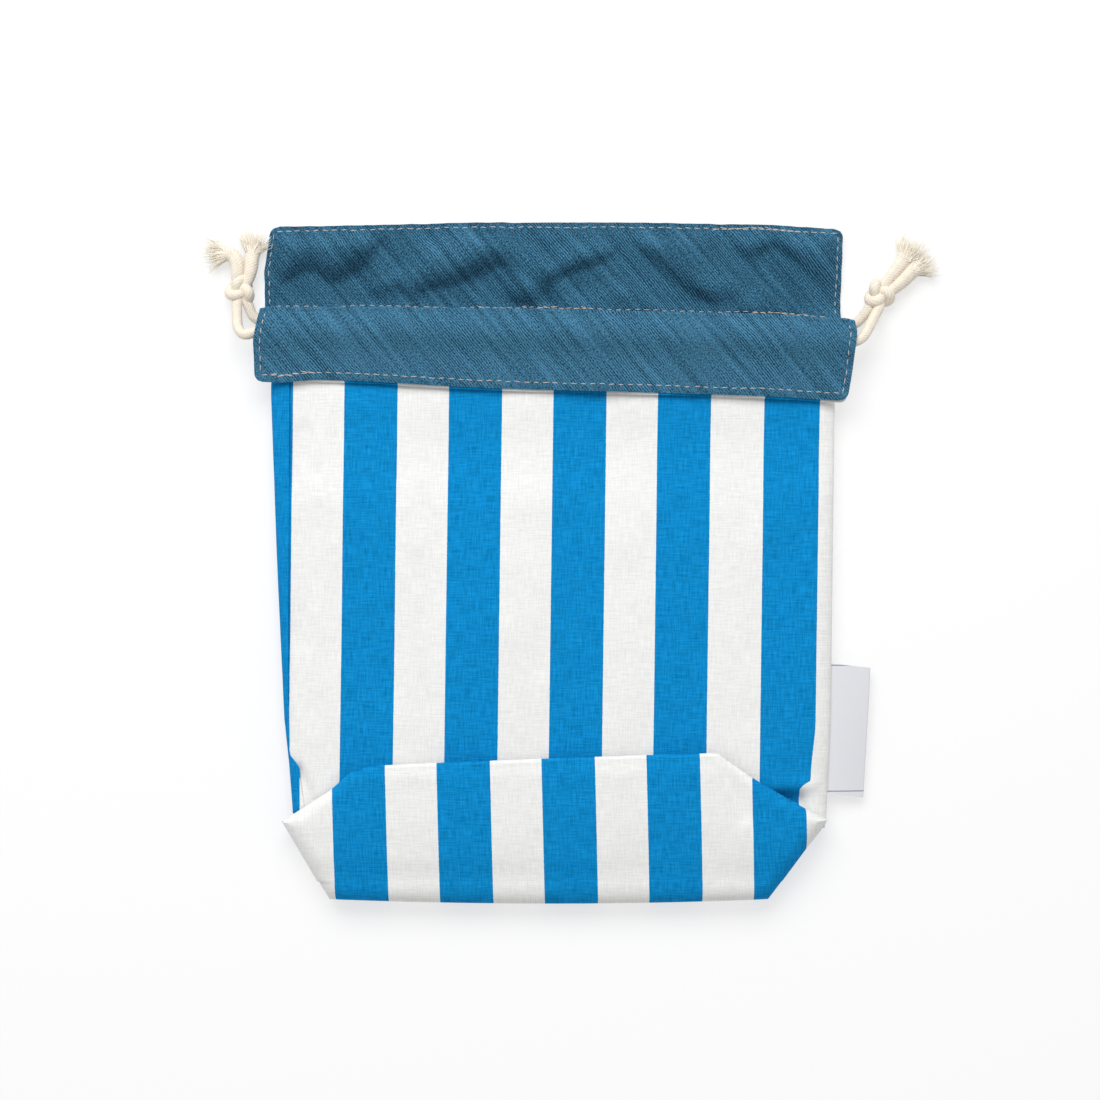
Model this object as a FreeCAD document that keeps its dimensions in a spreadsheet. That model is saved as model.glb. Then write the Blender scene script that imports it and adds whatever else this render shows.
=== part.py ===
"""Small lined drawstring sack of striped cotton, lying flat on its back.

Millimetres. +X runs across the sack, +Y towards its mouth and +Z up from the surface that it lies on.
The origin is the middle of the resting face. Every layer of cloth is a solid of its own.
"""
import FreeCAD
import Part
import math
import os

from FreeCAD import Placement, Rotation, Vector

doc = FreeCAD.newDocument("drawstring_sack")

# ---------------------------------------------------------------- sizes

SIZES = [
    ("cotton", 0.5, "thickness of the striped outer cloth"),
    ("twill", 0.8, "thickness of the twill lining"),
    ("interior", 8.5, "height of the space inside the sack"),
    ("layer_gap", 0.3, "air between layers that move apart"),
    ("lining_gap", 0.4, "air inside the folded base"),
    ("body_width", 212.0, "width across the side folds"),
    ("back_height", 258.4, "base edge to the top of the back casing"),
    ("front_height", 225.1, "base edge to the fold of the cuff"),
    ("casing_width", 219.4, "width of the back casing"),
    ("cuff_width", 229.0, "width of the turned-down front casing"),
    ("cuff_depth", 31.5, "fold of the cuff to its opening edge"),
    ("cuff_slant", 1.3, "degrees by which the cuff's fold runs down to the right"),
    ("fold_clearance", 0.3, "running clearance round the cuff's fold"),
    ("base_depth", 56.0, "depth of the boxed base, folded flat"),
    ("base_edge_width", 168.0, "straight part of the base's lower edge"),
    ("tip_width", 209.0, "base width across its pointed ears"),
    ("tip_height", 30.0, "base edge to the tips of the ears"),
    ("flap_top_width", 132.0, "straight part of the folded base's upper edge"),
    ("bottom_turn", 150.0, "degrees of the bottom fold that turn with the base"),
    ("top_turn", 150.0, "degrees of the fold between base and tuck"),
    ("tuck_turn", 140.0, "degrees of the fold between front and tuck"),
    ("channel_rise", 4.2, "height of a cord channel above the cloth"),
    ("front_channel_half", 7.0, "half the width of the cord channel in the cuff"),
    ("back_channel_half", 5.0, "half the width of the cord channel in the back casing"),
    ("cord_radius", 1.8, "radius of the drawcord"),
    ("cord_clearance", 0.3, "cord above the cloth that it runs on"),
    ("back_cord_below_top", 26.2, "top edge of the back casing to its cord"),
    ("front_cord_below_fold", 8.5, "cuff's fold to its cord"),
    ("thread_width", 0.5, "width of a line of topstitching"),
    ("thread_height", 0.25, "height of a line of topstitching"),
    ("casing_stitch_inset", 1.6, "edge of the back casing to its stitches"),
    ("cuff_stitch_inset", 2.6, "edge of the cuff to its stitches"),
    ("knot_reach", 6.5, "end of the cuff to the middle of the left knot"),
    ("right_knot_reach", 10.3, "end of the cuff to the middle of the right knot"),
    ("knot_half_width", 5.2, "half the width of a knot"),
    ("knot_half_length", 5.6, "half the length of a knot"),
    ("knot_half_height", 4.2, "half the height of a knot"),
    ("knot_above_fold", 9.0, "cuff's fold to the middle of the left knot"),
    ("right_knot_above_fold", 7.4, "cuff's fold to the middle of the right knot"),
    ("label_length", 50.0, "length of the woven label along the seam"),
    ("label_reach", 14.0, "how far the label stands out of the seam"),
    ("label_ply", 0.3, "thickness of one ply of the label's tape"),
    ("label_slit", 0.2, "air between the label's two plies"),
    ("label_above_base", 40.5, "base edge to the label's lower end"),
]

sheet = doc.addObject("Spreadsheet::Sheet", "Sizes")
for row, (alias, number, meaning) in enumerate(SIZES, start=1):
    sheet.set(f"A{row}", meaning)
    sheet.set(f"B{row}", str(number))
    sheet.setAlias(f"B{row}", alias)
doc.recompute()


def size(alias):
    """A size from the sheet, as a number."""
    return float(sheet.get(alias))


# Levels along Y and Z, written once as formulas over the sheet.
BASE = "(-Sizes.back_height / 2)"
TOP = "(Sizes.back_height / 2)"
FOLD = f"({BASE} + Sizes.front_height)"
WALL = "(Sizes.cotton + Sizes.twill)"
FRONT = f"({WALL} + Sizes.interior)"
FRONT_TOP = f"({FRONT} + {WALL})"
SIDE_RADIUS = f"({FRONT_TOP} / 2)"
SLANT = "(Sizes.cuff_slant * 1 deg)"
CUFF_AXIS = f"({FRONT_TOP} + Sizes.layer_gap / 2)"
UPPER = f"({FRONT_TOP} + Sizes.layer_gap)"
FOLD_RADIUS = f"(Sizes.layer_gap / 2 + {WALL})"
FRONT_END = f"({FOLD} - {FOLD_RADIUS} - Sizes.fold_clearance)"
TUCK_TOP = f"({UPPER} + {WALL})"
FLAP = f"({TUCK_TOP} + Sizes.lining_gap)"
FLAP_TOP = f"({FLAP} + {WALL})"
FLAP_AXIS = f"({TUCK_TOP} + Sizes.lining_gap / 2)"
FLAP_RADIUS = f"(Sizes.lining_gap / 2 + {WALL})"
FLAP_END = f"({BASE} + Sizes.base_depth - {FLAP_RADIUS})"
BOTTOM_RADIUS = f"({FLAP_TOP} / 2)"
BOTTOM_END = f"({BASE} + {BOTTOM_RADIUS})"
TUCK_FOLD = f"({BASE} + Sizes.base_depth / 2)"
BACK_CORD_Y = f"({TOP} - Sizes.back_cord_below_top)"
QUARTER = "90"
HALF_TURN = "180"
FULL_TURN = "360"
TUCK_START = 130
FLAP_START = -60
BACKWARD = -90
UPWARD = 90
FRONT_CORD_Y = f"({FOLD} - Sizes.front_cord_below_fold)"
BACK_CORD_Z = "(Sizes.cotton + Sizes.cord_clearance + Sizes.cord_radius)"
FRONT_CORD_Z = f"({UPPER} + Sizes.cotton + Sizes.cord_clearance + Sizes.cord_radius)"

# The same levels as numbers, for the cords, whose tubes are swept.
base_y = -size("back_height") / 2
fold_y = base_y + size("front_height")
wall = size("cotton") + size("twill")
upper_z = 2 * wall + size("interior") + size("layer_gap")
back_exit = Vector(
    size("casing_width") / 2,
    size("back_height") / 2 - size("back_cord_below_top"),
    size("cotton") + size("cord_clearance") + size("cord_radius"),
)


def front_exit(side):
    """Where the front cord leaves the cuff, on the left (-1) or the right (1)."""
    reach = side * (size("cuff_width") / 2 + size("layer_gap"))
    below = size("front_cord_below_fold")
    slant = math.radians(size("cuff_slant"))
    return Vector(
        reach * math.cos(slant) - below * math.sin(slant),
        fold_y - reach * math.sin(slant) - below * math.cos(slant),
        upper_z + size("cotton") + size("cord_clearance") + size("cord_radius"),
    )


left_knot = Vector(
    -size("cuff_width") / 2 - size("knot_reach"),
    fold_y + size("knot_above_fold"),
    size("knot_half_height") + size("cord_clearance"),
)
right_knot = Vector(
    size("cuff_width") / 2 + size("right_knot_reach"),
    fold_y + size("right_knot_above_fold"),
    size("knot_half_height") + size("cord_clearance"),
)

nodes = []
count = 0


def bind(item, **formulas):
    """Bind properties to formulas; x, y and z are the place."""
    for name, formula in formulas.items():
        path = f"Placement.Base.{name}" if name in ("x", "y", "z") else name
        item.setExpression(path, formula)
    return item


def add(kind):
    """A new helper object with a plain running name."""
    global count
    count += 1
    return doc.addObject(kind, f"form_{count}")


def node(item, label):
    """Name a finished sub-part."""
    item.Label = label
    nodes.append(item)
    return item


def slab(x, y, z, length, width, height):
    """A flat box from its low corner and its three sizes."""
    return bind(add("Part::Box"), x=x, y=y, z=z, Length=length, Width=width, Height=height)


def centred_slab(width, low, high, z, height):
    """A flat box across the middle, from one level along Y to another."""
    return slab(f"-({width}) / 2", low, z, width, f"{high} - {low}", height)


def fuse(*items):
    """Join several forms into one solid."""
    whole = add("Part::MultiFuse")
    whole.Shapes = list(items)
    whole.Refine = True
    return whole


def cut(form, *tools):
    """Take the tools out of a form, one after another."""
    for tool in tools:
        less = add("Part::Cut")
        less.Base = form
        less.Tool = tool
        less.Refine = True
        form = less
    return form


def slanted_x(x, y):
    """Where a point's X goes when the cuff turns about the middle of its fold."""
    return f"({x}) * cos({SLANT}) + (({y}) - {FOLD}) * sin({SLANT})"


def slanted_y(x, y):
    """Where a point's Y goes when the cuff turns about the middle of its fold."""
    return f"{FOLD} + (({y}) - {FOLD}) * cos({SLANT}) - ({x}) * sin({SLANT})"


def slanted(item, x="0", y="0"):
    """Turn a form with the cuff; x and y are where its corner would be in a straight cuff."""
    item.Placement = Placement(Vector(), Rotation(Vector(0, 0, -1), 1))
    item.setExpression("Placement.Rotation.Angle", "Sizes.cuff_slant")
    return bind(item, x=slanted_x(x, y), y=slanted_y(x, y))


def round_wall_x(width, y, z, inner, outer, start, sweep):
    """A rolled wall along X; its angles run from +Y towards +Z."""
    turn = Rotation(Vector(1, 0, 0), start) * Rotation(Vector(1, 1, 1), 120)
    walls = []
    for radius, angle in ((outer, sweep), (inner, FULL_TURN)):
        roll = add("Part::Cylinder")
        roll.Placement = Placement(Vector(), turn)
        bind(roll, x=f"-({width}) / 2", y=y, z=z, Radius=radius, Height=width, Angle=angle)
        walls.append(roll)
    return cut(walls[0], walls[1])


def round_wall_y(x, low, high, z, inner, outer, start):
    """A quarter-round wall along Y; its angles run from +X towards +Z."""
    turn = Rotation(Vector(0, 1, 0), -start) * Rotation(Vector(1, 0, 0), 90)
    walls = []
    for radius, angle in ((outer, QUARTER), (inner, FULL_TURN)):
        roll = add("Part::Cylinder")
        roll.Placement = Placement(Vector(), turn)
        bind(roll, x=x, y=high, z=z, Radius=radius, Height=f"{high} - {low}", Angle=angle)
        walls.append(roll)
    return cut(walls[0], walls[1])


# ---------------------------------------------------------------- corner cuts


def corner_tool(x, y, angle):
    """A block whose edge runs from a corner along the folded ear, for the left side and the right."""
    left = add("Part::Box")
    left.Placement = Placement(Vector(), Rotation(Vector(0, 0, 1), 30))
    reach = "Sizes.base_depth"
    bind(left, x=x, y=y, z="-Sizes.base_depth / 2", Length=reach, Width=reach, Height=reach)
    left.setExpression("Placement.Rotation.Angle", angle)
    right = add("Part::Mirroring")
    right.Source = left
    right.Normal = Vector(1, 0, 0)
    return [left, right]


def lower_corners():
    """The cuts below the tips of the ears."""
    run = "((Sizes.tip_width - Sizes.base_edge_width) / 2)"
    return corner_tool("-Sizes.base_edge_width / 2", BASE, f"180 deg - atan2(Sizes.tip_height; {run})")


def upper_corners():
    """The cuts above the tips of the ears."""
    run = "((Sizes.tip_width - Sizes.flap_top_width) / 2)"
    rise = "(Sizes.base_depth - Sizes.tip_height)"
    return corner_tool("-Sizes.tip_width / 2", f"{BASE} + Sizes.tip_height", f"atan2({rise}; {run})")


LOWER = lower_corners()
UPPER_EARS = upper_corners()

# ---------------------------------------------------------------- body of the sack


def body_wall(label, low, high, inset, thickness, top):
    """One layer of the back or of the front, with its half of each rounded side."""
    outer = f"({SIDE_RADIUS} - {inset})"
    inner = f"({outer} - {thickness})"
    flat = f"(Sizes.body_width - 2 * {SIDE_RADIUS})"
    level = f"({FRONT_TOP} - {inset} - {thickness})" if top else inset
    left = round_wall_y(f"-{flat} / 2", low, high, SIDE_RADIUS, inner, outer, 90 if top else 180)
    right = round_wall_y(f"{flat} / 2", low, high, SIDE_RADIUS, inner, outer, 0 if top else 270)
    return [centred_slab(flat, low, high, level, thickness), left, right]


def back_panel():
    """Outer cloth of the back, which runs on flat into the back casing."""
    wall_forms = body_wall("back_panel", BOTTOM_END, FRONT_END, "0", "Sizes.cotton", False)
    casing = centred_slab("Sizes.casing_width", FRONT_END, TOP, "0", "Sizes.cotton")
    return node(cut(fuse(*wall_forms, casing), *LOWER), "back_panel")


def channel(width, y, level, half):
    """The lining's arch over a cord, and the space under it."""
    squares = f"({half} * {half} + Sizes.channel_rise * Sizes.channel_rise)"
    arch_radius = f"({squares} / (2 * Sizes.channel_rise))"
    centre = f"({level} + Sizes.channel_rise - {arch_radius})"
    forms = []
    for radius in (f"({arch_radius} + Sizes.twill)", arch_radius):
        roll = add("Part::Cylinder")
        roll.Placement = Placement(Vector(), Rotation(Vector(1, 1, 1), 120))
        bind(roll, x=f"-({width}) / 2", y=y, z=centre, Radius=radius, Height=width)
        forms.append(roll)
    above = slab(f"-({width}) / 2", f"{y} - 2 * {half}", level, width, f"4 * {half}", f"2 * {half}")
    arch = add("Part::Common")
    arch.Base = forms[0]
    arch.Tool = above
    return arch, forms[1]


def back_lining():
    """Twill inside the back, arched over the cord in the back casing."""
    wall_forms = body_wall("back_lining", BOTTOM_END, FRONT_END, "Sizes.cotton", "Sizes.twill", False)
    casing = centred_slab("Sizes.casing_width", FRONT_END, TOP, "Sizes.cotton", "Sizes.twill")
    arch, space = channel("Sizes.casing_width", BACK_CORD_Y, "Sizes.cotton", "Sizes.back_channel_half")
    return node(cut(fuse(*wall_forms, casing, arch), space, *LOWER), "back_lining")


def above_front():
    """The space above the front's upper end, which runs along the cuff's fold."""
    left = "-Sizes.cuff_width"
    past = "Sizes.cuff_depth"
    return slanted(slab(left, FRONT_END, "0", f"-2 * {left}", past, past), left, FRONT_END)


def front_panel():
    """Outer cloth of the front, from the tuck over the base up to the cuff, with the tuck's fold."""
    wall_forms = body_wall("front_panel", TUCK_FOLD, FOLD, "0", "Sizes.cotton", True)
    inner = "(Sizes.layer_gap / 2)"
    outer = f"({inner} + Sizes.cotton)"
    roll = round_wall_x("Sizes.tip_width", TUCK_FOLD, CUFF_AXIS, inner, outer, TUCK_START, "Sizes.tuck_turn")
    return node(cut(fuse(*wall_forms, roll), *LOWER, above_front()), "front_panel")


def front_lining():
    """Twill inside the front, with the tuck's fold."""
    wall_forms = body_wall("front_lining", TUCK_FOLD, FOLD, "Sizes.cotton", "Sizes.twill", True)
    inner = "(Sizes.layer_gap / 2 + Sizes.cotton)"
    outer = f"({inner} + Sizes.twill)"
    roll = round_wall_x("Sizes.tip_width", TUCK_FOLD, CUFF_AXIS, inner, outer, TUCK_START, "Sizes.tuck_turn")
    return node(cut(fuse(*wall_forms, roll), *LOWER, above_front()), "front_lining")


# ---------------------------------------------------------------- cuff


def cuff_cotton():
    """Outer cloth of the turned-down front casing, face down on the front."""
    edge = f"({FOLD} - Sizes.cuff_depth)"
    inner = "(Sizes.layer_gap / 2)"
    flat = centred_slab("Sizes.cuff_width", edge, FOLD, UPPER, "Sizes.cotton")
    outer = f"({inner} + Sizes.cotton)"
    roll = round_wall_x("Sizes.cuff_width", FOLD, CUFF_AXIS, inner, outer, BACKWARD, HALF_TURN)
    return node(slanted(fuse(flat, roll)), "cuff_cotton")


def cuff_lining():
    """Twill of the turned-down front casing, arched over the front cord."""
    edge = f"({FOLD} - Sizes.cuff_depth)"
    level = f"({UPPER} + Sizes.cotton)"
    inner = "(Sizes.layer_gap / 2 + Sizes.cotton)"
    flat = centred_slab("Sizes.cuff_width", edge, FOLD, level, "Sizes.twill")
    outer = f"({inner} + Sizes.twill)"
    roll = round_wall_x("Sizes.cuff_width", FOLD, CUFF_AXIS, inner, outer, BACKWARD, HALF_TURN)
    arch, space = channel("Sizes.cuff_width", FRONT_CORD_Y, level, "Sizes.front_channel_half")
    return node(slanted(cut(fuse(flat, roll, arch), space)), "cuff_lining")


# ---------------------------------------------------------------- boxed base, folded up on the front


def base_layer(label, level, thickness, bottom_outer, top_inner):
    """One layer of the base, with its share of the bottom fold and of the fold to the tuck."""
    flat = centred_slab("Sizes.tip_width", BOTTOM_END, FLAP_END, level, thickness)
    bottom = round_wall_x(
        "Sizes.tip_width",
        BOTTOM_END,
        BOTTOM_RADIUS,
        f"({bottom_outer} - {thickness})",
        bottom_outer,
        UPWARD,
        "Sizes.bottom_turn",
    )
    top_outer = f"({top_inner} + {thickness})"
    top = round_wall_x(
        "Sizes.tip_width", FLAP_END, FLAP_AXIS, top_inner, top_outer, FLAP_START, "Sizes.top_turn"
    )
    return node(cut(fuse(flat, bottom, top), *LOWER, *UPPER_EARS), label)


def tuck_layer(label, level, thickness):
    """One layer of the tuck between the front and the base."""
    low = f"({TUCK_FOLD} + Sizes.layer_gap)"
    flat = centred_slab("Sizes.tip_width", low, FLAP_END, level, thickness)
    return node(cut(flat, *LOWER, *UPPER_EARS), label)


# ---------------------------------------------------------------- topstitching and label


def stitches_across(width, y, level):
    """A line of topstitching along X."""
    low = f"{y} - Sizes.thread_width / 2"
    return slab(f"-({width}) / 2", low, level, width, "Sizes.thread_width", "Sizes.thread_height")


def stitches_up(x, low, high, level):
    """A line of topstitching along Y."""
    left = f"{x} - Sizes.thread_width / 2"
    return slab(left, low, level, "Sizes.thread_width", f"{high} - {low}", "Sizes.thread_height")


def casing_stitches():
    """The rectangle of topstitching on the back casing."""
    top = f"({TOP} - Sizes.casing_stitch_inset)"
    foot = "(Sizes.back_channel_half + Sizes.twill)"
    low = f"({BACK_CORD_Y} + {foot})"
    side = "(Sizes.casing_width / 2 - Sizes.casing_stitch_inset)"
    across = "(Sizes.casing_width - 2 * Sizes.casing_stitch_inset - 2 * Sizes.thread_width)"
    node(stitches_across(across, top, WALL), "casing_top_stitches")
    lower = stitches_across(across, f"({BACK_CORD_Y} - {foot} - Sizes.thread_width)", WALL)
    node(lower, "casing_lower_stitches")
    node(stitches_up(f"-{side}", low, top, WALL), "casing_left_stitches")
    node(stitches_up(side, low, top, WALL), "casing_right_stitches")


def cuff_stitches():
    """The topstitching near the cuff's opening edge and its two ends."""
    edge = f"({FOLD} - Sizes.cuff_depth + Sizes.cuff_stitch_inset)"
    high = f"({FRONT_CORD_Y} - Sizes.front_channel_half - Sizes.twill)"
    side = "(Sizes.cuff_width / 2 - Sizes.cuff_stitch_inset)"
    across = "(Sizes.cuff_width - 2 * Sizes.cuff_stitch_inset - 2 * Sizes.thread_width)"
    level = f"({UPPER} + {WALL})"
    half = "Sizes.thread_width / 2"
    lower = stitches_across(across, edge, level)
    node(slanted(lower, f"-({across}) / 2", f"{edge} - {half}"), "cuff_lower_stitches")
    left = stitches_up(f"-{side}", edge, high, level)
    node(slanted(left, f"-{side} - {half}", edge), "cuff_left_stitches")
    right = stitches_up(side, edge, high, level)
    node(slanted(right, f"{side} - {half}", edge), "cuff_right_stitches")


def label_tape():
    """The woven label: one tape folded double, its fold outward."""
    start = "(Sizes.body_width / 2 + Sizes.layer_gap)"
    low = f"({BASE} + Sizes.label_above_base)"
    high = f"({low} + Sizes.label_length)"
    inner = "(Sizes.label_slit / 2)"
    outer = f"({inner} + Sizes.label_ply)"
    reach = f"(Sizes.label_reach - Sizes.layer_gap - {outer})"
    forms = []
    for level in (f"{SIDE_RADIUS} + {inner}", f"{SIDE_RADIUS} - {outer}"):
        forms.append(slab(start, low, level, reach, "Sizes.label_length", "Sizes.label_ply"))
    for begin in (0, 270):
        forms.append(round_wall_y(f"{start} + {reach}", low, high, SIDE_RADIUS, inner, outer, begin))
    return node(fuse(*forms), "label")


# ---------------------------------------------------------------- drawcord


def straight_cord(width, y, z):
    """The stretch of a cord inside its casing."""
    cord = add("Part::Cylinder")
    cord.Placement = Placement(Vector(), Rotation(Vector(0, 1, 0), 90))
    return bind(cord, x=f"-{width} / 2", y=y, z=z, Radius="Sizes.cord_radius", Height=width)


def knot(label, place):
    """An overhand knot tied in two strands together, as one rounded lump."""
    lump = add("Part::Ellipsoid")
    lump.Placement = Placement(place, Rotation())
    bind(lump, Radius1="Sizes.knot_half_height", Radius2="Sizes.knot_half_width")
    bind(lump, Radius3="Sizes.knot_half_length")
    return node(lump, label)


def route_wire(points):
    """Straight runs joined by tangent arcs, each as large as its two runs allow."""
    edges = []
    begin = points[0]
    for before, corner, after in zip(points, points[1:], points[2:]):
        back = before - corner
        ahead = after - corner
        turn = math.pi - back.getAngle(ahead)
        trim = 0.45 * min(back.Length, ahead.Length)
        radius = trim / math.tan(turn / 2)
        print(f"    turn {math.degrees(turn):5.1f} deg, radius {radius:5.2f} mm")
        leave = corner + back.normalize() * trim
        meet = corner + ahead.normalize() * trim
        inward = (back + ahead).normalize()
        middle = corner + inward * (radius / math.cos(turn / 2) - radius)
        edges.append(Part.LineSegment(begin, leave).toShape())
        edges.append(Part.Arc(leave, middle, meet).toShape())
        begin = meet
    edges.append(Part.LineSegment(begin, points[-1]).toShape())
    return Part.Wire(edges)


def cord_tube(label, start, offsets):
    """A free stretch of cord that follows offsets from its start."""
    radius = size("cord_radius")
    points = [start + Vector(*offset) for offset in offsets]
    wire = route_wire(points)
    ring = Part.Wire([Part.makeCircle(radius, points[0], points[1] - points[0])])
    tube = wire.makePipeShell([ring], True, False)
    expected = math.pi * radius**2 * wire.Length
    print(f"{label}: length {wire.Length:.1f} mm, volume {tube.Volume / expected:.4f} of section x length")
    cord = doc.addObject("Part::Feature", f"cord_{label}")
    cord.Shape = tube
    cord.Placement = Placement(Vector(0, 0, 0), Rotation())
    return node(cord, label)


def mirrored(point):
    """The same point on the left side."""
    return Vector(-point.x, point.y, point.z)


def drawcord():
    """Two cords, one in each casing, tied together in a knot at each side."""
    node(straight_cord("Sizes.casing_width", BACK_CORD_Y, BACK_CORD_Z), "back_cord")
    front = straight_cord("Sizes.cuff_width", FRONT_CORD_Y, FRONT_CORD_Z)
    front.setExpression("Placement.Rotation.Axis.x", f"sin({SLANT})")
    front.setExpression("Placement.Rotation.Axis.y", f"cos({SLANT})")
    left = "-Sizes.cuff_width / 2"
    bind(front, x=slanted_x(left, FRONT_CORD_Y), y=slanted_y(left, FRONT_CORD_Y))
    node(front, "front_cord")
    knot("left_knot", left_knot)
    knot("right_knot", right_knot)
    cord_tube(
        "left_back_strand",
        mirrored(back_exit),
        [(0, 0, 0), (-2.8, 0, 0), (-5.8, -1.7, 0.1), (-9.0, -1.2, 0.6)],
    )
    cord_tube(
        "left_front_strand",
        front_exit(-1),
        [
            (0, 0, 0),
            (-3.0, 0, 0),
            (-5.6, 2.0, -1.5),
            (-6.8, 5.6, -4.2),
            (-7.1, 9.6, -6.9),
            (-6.9, 13.2, -8.6),
        ],
    )
    cord_tube(
        "right_back_strand",
        back_exit,
        [(0, 0, 0), (3.4, 0, 0), (6.8, -2.2, -0.1), (10.4, -2.4, 0.3), (13.2, -0.8, 1.1)],
    )
    cord_tube(
        "right_front_strand",
        front_exit(1),
        [(0, 0, 0), (4.2, 0, 0), (7.4, 2.8, -1.8), (8.9, 7.4, -4.7), (9.6, 12.2, -7.4), (9.9, 15.8, -9.0)],
    )
    cord_tube(
        "left_curled_tail",
        left_knot,
        [(-1.6, 3.4, 1.0), (-2.8, 8.2, 0.4), (-4.6, 12.0, -0.6), (-8.0, 14.6, -1.6), (-12.2, 14.8, -2.2)],
    )
    cord_tube(
        "left_straight_tail",
        left_knot,
        [(2.0, 3.0, 1.0), (2.4, 7.4, 0.2), (4.2, 11.6, -1.0), (7.0, 15.0, -2.0), (9.6, 17.4, -2.5)],
    )
    cord_tube(
        "right_upper_tail",
        right_knot,
        [(0.8, 3.6, 0.6), (3.6, 7.2, 0.2), (6.6, 10.4, -0.6), (9.0, 14.0, -1.6), (10.6, 18.2, -2.3)],
    )
    cord_tube(
        "right_lower_tail",
        right_knot,
        [(3.6, 0.8, 0.4), (7.4, 3.4, 0.0), (11.2, 6.6, -0.8), (14.6, 9.2, -1.7), (18.4, 11.2, -2.4)],
    )


# ---------------------------------------------------------------- build and write

back_panel()
back_lining()
front_panel()
front_lining()
cuff_cotton()
cuff_lining()
base_layer(
    "base_cotton",
    f"({FLAP} + Sizes.twill)",
    "Sizes.cotton",
    BOTTOM_RADIUS,
    "(Sizes.lining_gap / 2 + Sizes.twill)",
)
base_layer(
    "base_lining",
    FLAP,
    "Sizes.twill",
    f"({BOTTOM_RADIUS} - Sizes.cotton)",
    "(Sizes.lining_gap / 2)",
)
tuck_layer("tuck_cotton", UPPER, "Sizes.cotton")
tuck_layer("tuck_lining", f"({UPPER} + Sizes.cotton)", "Sizes.twill")
casing_stitches()
cuff_stitches()
label_tape()
drawcord()
doc.recompute()

for item in doc.Objects:
    if "Invalid" in item.State or "Error" in item.State:
        raise RuntimeError(f"{item.Label} did not compute: {item.State}")

os.makedirs("parts", exist_ok=True)
for item in nodes:
    shape = item.Shape
    if shape.isNull() or not shape.isValid() or len(shape.Solids) != 1:
        raise RuntimeError(f"{item.Label} is not one valid solid")
    shape.exportStep(f"parts/{item.Label}.step")
print(f"{len(nodes)} sub-parts written")
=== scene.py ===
"""A small lined drawstring sack of striped cotton, lying flat on a pale table."""

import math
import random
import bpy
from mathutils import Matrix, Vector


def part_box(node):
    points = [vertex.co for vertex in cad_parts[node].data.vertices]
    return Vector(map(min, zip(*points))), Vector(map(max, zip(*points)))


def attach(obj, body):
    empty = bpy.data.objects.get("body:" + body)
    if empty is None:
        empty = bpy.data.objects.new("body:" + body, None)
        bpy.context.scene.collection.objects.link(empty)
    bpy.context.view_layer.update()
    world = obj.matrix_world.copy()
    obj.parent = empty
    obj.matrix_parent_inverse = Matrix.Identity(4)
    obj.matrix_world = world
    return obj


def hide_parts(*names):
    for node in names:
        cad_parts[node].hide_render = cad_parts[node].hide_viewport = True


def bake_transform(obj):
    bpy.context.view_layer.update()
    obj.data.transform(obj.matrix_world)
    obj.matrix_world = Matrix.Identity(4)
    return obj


bl_info = {
    "name": "Striped drawstring sack",
    "version": (1, 0, 0),
    "blender": (4, 5, 0),
    "location": "3D View > Sidebar > Sack",
    "description": "Builds a lined drawstring sack with a folded base, cuff, cords and label",
    "category": "Add Mesh",
}

import bpy
from mathutils import Matrix, Vector, noise

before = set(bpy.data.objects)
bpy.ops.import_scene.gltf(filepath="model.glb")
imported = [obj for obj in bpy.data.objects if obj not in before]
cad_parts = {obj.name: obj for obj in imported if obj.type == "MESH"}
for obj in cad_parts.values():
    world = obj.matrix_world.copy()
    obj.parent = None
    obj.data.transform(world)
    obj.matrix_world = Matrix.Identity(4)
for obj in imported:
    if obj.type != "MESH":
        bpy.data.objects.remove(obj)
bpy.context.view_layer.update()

MM = 0.001


# ---------------------------------------------------------------- sizes taken from the frame, in mm


def low(node):
    """Lowest corner of a node's box, in mm."""
    return Vector(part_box(node)[0]) / MM


def high(node):
    """Highest corner of a node's box, in mm."""
    return Vector(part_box(node)[1]) / MM


BASE_EDGE = low("base_cotton").y
TOP_EDGE = high("back_panel").y
COTTON_FLOOR = low("back_panel").z + 0.25
FRONT_LEVEL = 10.85
SIDE_LEVEL = 5.55
CUFF_SLANT = math.tan(math.radians(1.3))
CUFF_AXIS = Vector((0.0, 95.9, 11.25))
FLAP_AXIS_Z = 14.1
BOTTOM_AXIS_Y = BASE_EDGE + 7.2
BOTTOM_AXIS_Z = 7.2
TUCK_FOLD_Y = -101.2
LINING_STEP = 0.65
CURL_REACH = 9.0
# Levels of the cotton and the twill that lie on the front: the cuff's and the tuck's.
OVER_COTTON = 11.65
OVER_TWILL = 12.3
# A stitch's middle above the middle of its cloth.
STITCH_LIFT = 0.38
WHITE = (1.0, 1.0, 1.0, 1.0)


def clamp(value, least=0.0, most=1.0):
    return max(least, min(most, value))


def smooth(start, end, value):
    """Runs softly from 0 at start to 1 at end."""
    t = clamp((value - start) / (end - start))
    return t * t * (3.0 - 2.0 * t)


def along(stops, value):
    """A value read from a few stops, easing between them."""
    if value <= stops[0][0]:
        return stops[0][1]
    for (a, first), (b, second) in zip(stops, stops[1:]):
        if value <= b:
            return first + (second - first) * smooth(a, b, value)
    return stops[-1][1]


def straight(stops, value):
    """A value read from a few stops, straight between them."""
    if value <= stops[0][0]:
        return stops[0][1]
    for (a, first), (b, second) in zip(stops, stops[1:]):
        if value <= b:
            return first + (second - first) * (value - a) / (b - a)
    return stops[-1][1]


def swell(x, y, size, seed):
    """Soft unevenness of a given size across the cloth, from -1 to 1."""
    return noise.noise(Vector((x / size, y / size, seed)))


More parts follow.
